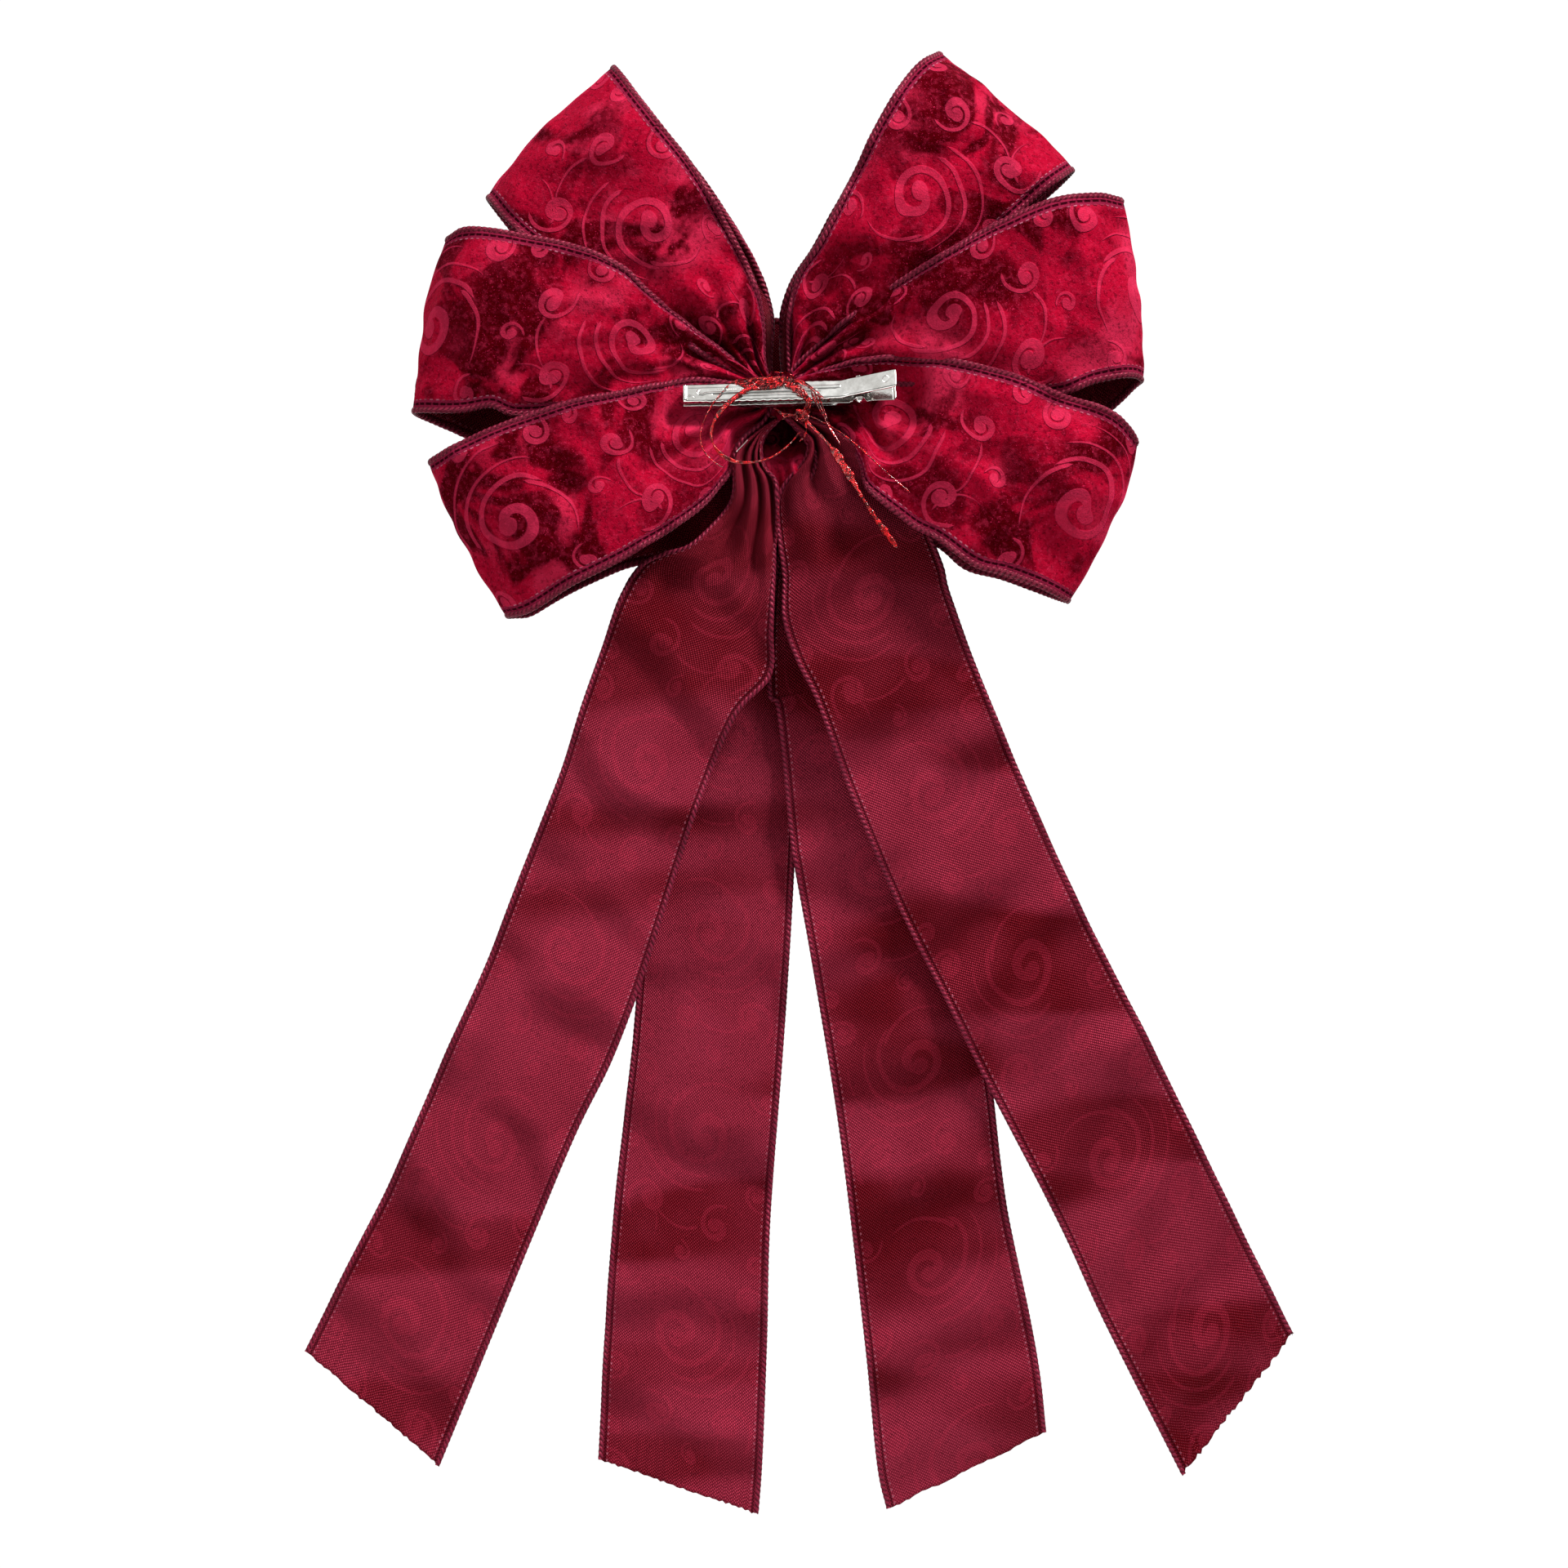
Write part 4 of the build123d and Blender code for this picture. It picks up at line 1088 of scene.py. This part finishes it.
def build_clip():
    xs = np.linspace(-37.5, 45.0, 420)
    scallop = np.abs(np.sin(math.pi * xs / 3.2))
    toothed = ramp(xs, -31, -29) * ramp(-xs, -21, -19)
    plate = LEVER_Z + np.maximum(xs - BEND_X, 0) * HANDLE_SLOPE * ramp(xs, 22, 27)
    rim = 0.45 + 0.35 * scallop * toothed
    rim = rim + (plate - 0.75 - rim) * ramp(xs, 13.5, 17.5)
    swell = 0.24 * scallop * toothed
    for piece in (
        channel("clip_lever_plate", xs, plate, rim, 3.62, 0.45, 0.5, lever_relief, swell),
        lever_ear("clip_lever_ear_low", -1),
        lever_ear("clip_lever_ear_high", 1),
    ):
        fit(piece, "clip_lever_jaw", "clip_lever")

    # the base's rim dips under the spring, rises into ears at the pin and runs on as the handle's hem
    floor_z = -3.2 + 2.5 * ramp(xs, 30.5, 36.0)
    rim = -0.45 - 0.35 * scallop * toothed
    rim = rim - 2.15 * np.sqrt(np.clip(1 - ((xs - 21.7) / 5.7) ** 2, 0, 1))
    ear = np.sqrt(np.clip(1 - ((xs - PIN_X) / 2.7) ** 2, 0, 1))
    before = ramp(-xs, -34.5, -33.4)
    rim = np.maximum(rim, -1.2 + 3.6 * ear) * before + (floor_z + 0.55) * (1 - before)
    lip = 1.4 * ramp(xs, 44.2, 45.0)
    base = channel("clip_base_plate", xs, floor_z + lip, rim + lip, 4.0, 0.4, 0.55, base_relief, 0.0 * xs)
    fit(base, "clip_base_jaw", "bow")

    # pin with domed heads
    y = np.array([-5.3, -5.25, -5.0, -4.7, -4.45, -4.4, 5.7, 5.75, 6.0, 6.3, 6.55, 6.6])
    r = np.array([0.15, 0.75, 1.25, 1.5, 1.55, 0.9, 0.9, 1.55, 1.5, 1.25, 0.75, 0.15])
    pin = join_parts("clip_pin_riveted", [tube(clip_frame(PIN_X, y, PIN_Z), r, r, AXIS, 32)], NICKEL)
    fit(pin, "clip_pin", "bow")

    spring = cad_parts["clip_spring"]
    spring.data.materials.clear()
    spring.data.materials.append(NICKEL)


build_clip()


# ---- the foil tie
def wander(points, seed, amount, count):
    """A strand's line through the points with small sideways wandering."""
    line = smooth_line(points, count)
    rng = np.random.default_rng(seed)
    t = np.linspace(0, 1, count)
    drift = [
        sum(rng.normal() * np.sin(t * k * math.pi + rng.uniform(0, 6)) for k in (2, 4, 7)) for _ in range(3)
    ]
    return line + np.stack(drift, 1) * np.sin(t * math.pi)[:, None] * amount


def strand(points, seed, stray, count, wide, thin, turns, rough, facing=(0, -1, 0)):
    """One crumpled strand that strays a little from its points."""
    return strip(wander(points, seed, stray, count), wide, thin, seed + 10, turns, facing, rough)


def on_face(points):
    """Route points given in the clip's frame, turned into row-frame points."""
    return [clip_frame(*p) for p in points]


def foil_piece(name, strips, node, body):
    return fit(join_parts(name, strips, FOIL), node, body)


def tie_over_the_jaw():
    """Strands along the jaw's upper edge, then down across its face, then two that leave to the right."""
    strips = []
    edge = [(-19.5, 4.0, 2.6), (-15.0, 5.0, 2.9), (-9.0, 5.2, 3.2), (-2.0, 4.9, 3.4), (3.5, 3.2, 3.6)]
    for k in range(13):
        drop = 0.40 * k
        points = on_face([(x + 0.5 * k, w - drop * (0.55 + 0.45 * math.sin(i * 1.1)), z + 0.12 * (k % 3))
                          for i, (x, w, z) in enumerate(edge)])
        strips.append(strand(points, 60 + k, 0.10, 90, 0.95, 0.28, 1.0 + 0.4 * k, 0.05, OUT))
    across = [(1.5, 4.2, 3.4), (4.6, 1.6, 3.5), (7.4, -1.0, 3.5), (9.4, -3.2, 3.2), (10.6, -4.6, 2.2)]
    for k in range(7):
        off = (k - 3) * 0.55
        points = on_face([(x + off * 0.9 * (1 - 0.5 * i / 4), w + off * 0.35, z + 0.16 * (k % 3))
                          for i, (x, w, z) in enumerate(across)])
        strips.append(strand(points, 80 + k, 0.12, 90, 1.0, 0.3, 2.0 + 0.3 * k, 0.06, OUT))
    for k, lift in enumerate((0.0, 0.9)):
        points = on_face([(-2.0, 5.0 + 0.3 * k, 3.6), (4.0, 4.2 + lift * 0.5, 3.9), (9.0, 1.6 + lift, 4.1),
                          (13.5, -2.2 + lift, 4.1), (17.0, -5.6 + lift, 3.6)])
        strips.append(strand(points, 100 + k, 0.05, 90, 0.75, 0.26, 1.0, 0.02, OUT))
    foil_piece("tie_over_the_jaw", strips, "tie_crossing", "clip_lever")


def tie_jaw_to_knot():
    """Strands that run on from the jaw's lower edge to the knot and to the right."""
    strips = []
    for k in range(4):
        points = [clip_frame(9.6 + 0.35 * k, -3.2, 3.5 - 0.2 * k), clip_frame(10.2 + 0.5 * k, -5.2, 1.6),
                  (9.6 + 0.6 * k, -3.6, -6.4 - 0.5 * k), (8.4 + 0.4 * k, -3.2, -8.8)]
        strips.append(strand(points, 300 + k, 0.1, 50, 1.1, 0.3, 0.5, 0.05))
    for k in range(3):
        points = [clip_frame(12.0 + 1.3 * k, -1.6 - 0.6 * k, 4.0), (14.6 + k, -4.8, -5.6),
                  (17.5 + k, -7.4, -10.5 - 1.5 * k), (21.5 + k, -10.0, -18.0 - 1.5 * k)]
        strips.append(strand(points, 330 + k, 0.08, 60, 0.9 - 0.15 * k, 0.28, 0.5, 0.03))
    tie = foil_piece("tie_jaw_to_knot", strips, None, None)
    jaw_edge = tuple(clip_frame(10, -3.4, 3.2) * MM)
    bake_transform(tie)


def tie_knot_tangle():
    """The knot, strands from it up to the jaw's lower edge and behind it, and a stray end."""
    knot = np.array([8.6, -2.6, -8.8])
    strips = []
    rng = np.random.default_rng(5)
    for k in range(13):
        a = rng.uniform(0, TURN, 3)
        points = [knot + np.array([2.3 * math.cos(a[0] + t), 1.2 * math.sin(a[1] + 1.7 * t),
                                   1.9 * math.sin(a[2] + 1.3 * t)]) for t in np.linspace(0, 4.4, 7)]
        strips.append(strand(points, 120 + k, 0.1, 60, rng.uniform(0.7, 1.3), 0.25, 2.5, 0.07))
    for k in range(4):
        points = [knot + (0.5 * k, 1.0, 0), (10.5 + k * 0.5, 0.5, -5.6), (10.6 + k * 0.4, 2.6, -3.6),
                  (9 + k, 4.6, -1.0)]
        strips.append(strand(points, 150 + k, 0.1, 50, 0.9, 0.28, 1.5, 0.05))
    for k in range(3):
        points = [(-2.5 + 0.6 * k, -0.5 + 0.3 * k, -5.8 - 0.3 * k), (1.5, -0.8, -7.6 - 0.5 * k),
                  (5.0, -1.6, -8.6), (8.0, -2.2, -8.6)]
        strips.append(strand(points, 170 + k, 0.16, 60, 0.8, 0.25, 2.5, 0.06))
    end = [(9.0, -3.4, -9.5), (10.2, -3.9, -13.0), (9.6, -4.2, -17.0), (7.6, -4.4, -19.0)]
    strips.append(strip(wander(end, 190, 0.1, 50), 0.8, 0.25, 191, 1.5, rough=0.03))
    foil_piece("tie_knot_tangle", strips, "tie_knot", "bow")


def tie_behind_clip():
    strips = []
    for k in range(5):
        points = on_face([(-14 + 2 * k, 2.2 - 0.7 * k, -4.2), (-4, 1.8 - 0.7 * k, -4.6),
                          (6, 1.2 - 0.7 * k, -4.6), (15 - k, 0.6 - 0.6 * k, -4.2)])
        strips.append(strand(points, 200 + k, 0.15, 60, 1.2, 0.4, 1.5, 0.05))
    foil_piece("tie_behind_clip", strips, "tie_saddle", "bow")


def tie_turns():
    """The turn that holds the clip's base, and the band round the waist."""
    strips = []
    for k in range(2):
        ring = [(18.6 + 0.5 * k, 3.3 * math.cos(a), -1.9 + 1.9 * math.sin(a))
                for a in np.linspace(0, TURN, 13)]
        strips.append(strip(smooth_line(on_face(ring), 80), 0.6, 0.25, 220 + k, 2.0, rough=0.02))
    foil_piece("tie_turn_round_base", strips, "tie_lashing", "bow")

    strips = []
    for k in range(4):
        ring = [(8.9 * math.cos(a), 7.6 + k * 0.8 + 0.3 * math.sin(3 * a + k), 8.9 * math.sin(a))
                for a in np.linspace(0, TURN, 19)]
        strips.append(strip(smooth_line(ring, 140), 1.0, 0.35, 230 + k, 5.0, rough=0.04))
    foil_piece("tie_round_waist", strips, "tie_band", "bow")


def bare_wire_end():
    """The end of a hem's wire, which sticks out near the knot."""
    line = smooth_line([(-12.6, -3.2, -18.4), (-13.7, -3.6, -19.8), (-16.9, -4.4, -23.0)], 16)
    wire = join_parts("hem_wire_end", [tube(line, 0.17, 0.17, (0, -1, 0), 12)], NICKEL)
    fit(wire, None, "bow")


tie_over_the_jaw()
tie_jaw_to_knot()
tie_knot_tangle()
tie_behind_clip()
tie_turns()
bare_wire_end()


# ---- floor and light
def pale_floor():
    near, far, z = -0.65, 0.45, -0.66
    corners = [(-0.55, near, z), (0.55, near, z), (0.55, far, z), (-0.55, far, z)]
    mesh = bpy.data.meshes.new("floor")
    mesh.from_pydata(corners, [], [(0, 1, 2, 3)])
    paint = {"Base Color": (0.93, 0.93, 0.93, 1), "Roughness": 0.9}
    mesh.materials.append(material("pale_floor", lambda net: paint))
    floor = bpy.data.objects.new("floor", mesh)
    COLL.objects.link(floor)


def studio_world():
    """Light from above and from +Y, with a backdrop that is plain white from every side."""
    world = bpy.data.worlds.new("studio")
    bpy.context.scene.world = world
    world.use_nodes = True
    net = Net(world.node_tree)
    _, y, z = net.split(net.place("Generated"))
    lit = net.math("MAXIMUM", net.step(y, 0.35, 0.85, 0.0, 1.08), net.step(z, -0.3, 0.85, 0.24, 1.05))
    seen_directly = net.node("ShaderNodeLightPath").outputs["Is Camera Ray"]
    lit = net.add(net.mul(lit, net.sub(1.0, seen_directly)), net.mul(seen_directly, 1.05))
    background = world.node_tree.nodes["Background"]
    net.link(lit, background.inputs["Strength"])
    set_inputs(background, {"Color": (1, 1, 1, 1)})


def area_light(name, location, target, size, power):
    data = bpy.data.lights.new(name, "AREA")
    data.shape = "SQUARE"
    data.size = size
    data.energy = power
    obj = bpy.data.objects.new(name, data)
    COLL.objects.link(obj)
    obj.location = location
    obj.rotation_euler = (Vector(target) - Vector(location)).to_track_quat("-Z", "Y").to_euler()


pale_floor()
studio_world()
area_light("key", (0.80, -0.62, 1.22), (0, 0, -0.15), 0.35, 58)
area_light("softbox", (-1.4, -0.62, 0.35), (0, 0, -0.15), 1.2, 13)
